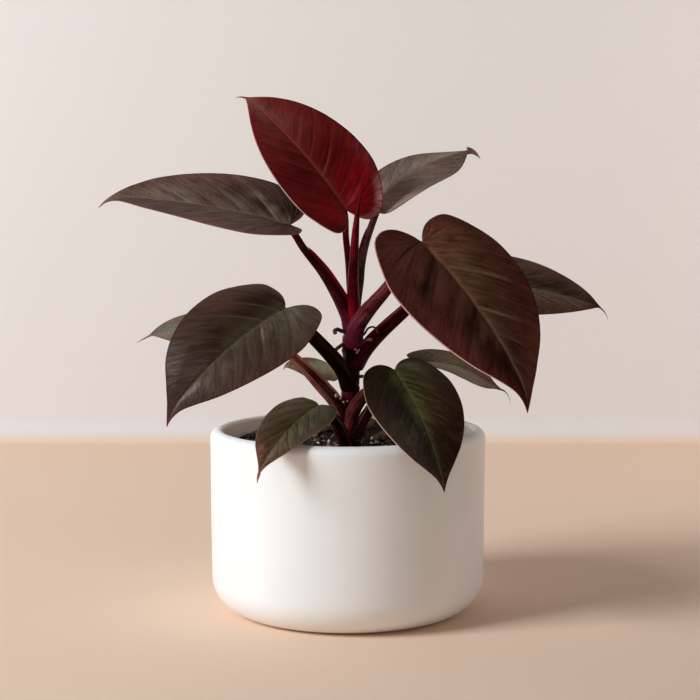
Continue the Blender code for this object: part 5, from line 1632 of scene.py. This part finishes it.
def stage_material():
    """Plain, pale and seen from the front only, so that no view is blocked."""
    s = Shader("plain stage", {"Specular IOR Level": 0.2})
    s.finish(s.mix(s.part(2).step(0.0, 0.014), (242, 211, 186), (228, 223, 220)), 0.85)
    back = s.node("NewGeometry", "Backfacing", {}, {})
    clear = s.node("BsdfTransparent", 0, {}, {})
    front = Value(s, s.principled.outputs[0])
    surface = s.node("MixShader", 0, {}, {0: back, 1: front, 2: clear})
    s.fill(s.nodes["Material Output"], {"Surface": surface})
    return s.material


def build_stage():
    """A pale floor that runs up into a pale wall behind the pot."""
    near, turn, cove, top, side = -3.0, 0.655, 0.025, 0.85, 3.5
    profile = [(near, 0.0), (-0.5, 0.0), (0.2, 0.0), (turn - cove - 0.05, 0.0)]
    profile += arc((turn - cove, cove), cove, -90, 0, 16).tolist()
    profile += [(turn, 0.3), (turn, 0.6), (turn, top)]
    points = [(x, y, z) for y, z in profile for x in (-side, side)]
    faces = [(2 * k, 2 * k + 1, 2 * k + 3, 2 * k + 2) for k in range(len(profile) - 1)]
    mesh = bpy.data.meshes.new("stage")
    mesh.from_pydata(points, [], faces)
    mesh.materials.append(stage_material())
    mesh.polygons.foreach_set("use_smooth", [True] * len(mesh.polygons))
    floor = bpy.data.objects.new("stage", mesh)
    bpy.context.scene.collection.objects.link(floor)


def area_light(name, place, size, power, colour, target):
    light = bpy.data.lights.new(name, "AREA")
    light.shape = "RECTANGLE"
    light.size, light.size_y = size
    light.energy = power
    light.color = colour
    obj = bpy.data.objects.new(name, light)
    obj.location = place
    obj.visible_camera = False
    obj.rotation_euler = (Vector(target) - Vector(place)).to_track_quat("-Z", "Y").to_euler()
    bpy.context.scene.collection.objects.link(obj)


def build_light():
    """A broad cool window from the left, in a dim room that is paler low down."""
    area_light("window", (-1.68, -0.86, 1.12), (0.8, 0.8), 48.0, (0.86, 0.94, 1.0),
               (0.0, 0.0, 0.14))
    area_light("wall wash", (0.85, 0.22, 0.42), (0.3, 0.5), 1.6, (1.0, 0.95, 0.93),
               (0.52, 0.66, 0.26))
    world = bpy.data.worlds.new("pale room")
    bpy.context.scene.world = world
    world.use_nodes = True
    tree = world.node_tree
    background = tree.nodes["Background"]
    background.inputs["Strength"].default_value = 0.50
    direction, split, ramp, mix = (
        tree.nodes.new("ShaderNode" + kind)
        for kind in ("TexCoord", "SeparateXYZ", "MapRange", "Mix")
    )
    mix.data_type = "RGBA"
    for out, into in (
        (direction.outputs["Generated"], split.inputs[0]),
        (split.outputs[2], ramp.inputs[0]),
        (ramp.outputs[0], mix.inputs[0]),
        (mix.outputs[2], background.inputs["Color"]),
    ):
        tree.links.new(out, into)
    ramp.inputs[1].default_value = 0.05
    ramp.inputs[2].default_value = 0.65
    mix.inputs[6].default_value = (1.0, 0.90, 0.83, 1.0)
    mix.inputs[7].default_value = (0.16, 0.15, 0.15, 1.0)


def build_camera():
    """The viewer stands in front of -Y, a little below the top of the plant."""
    data = bpy.data.cameras.new("camera")
    data.sensor_width = 36.0
    data.lens = 80.13
    data.clip_start = 0.02
    camera = bpy.data.objects.new("camera", data)
    camera.location = (0.0013, -0.9, 0.2309)
    camera.rotation_euler = (np.radians(84.91), 0.0, 0.0)
    bpy.context.scene.collection.objects.link(camera)
    bpy.context.scene.camera = camera
    bpy.context.scene.view_settings.view_transform = "Standard"


build_camera()
build_light()
build_stage()
build_pot()
build_ground()
build_stem()
build_leaves()
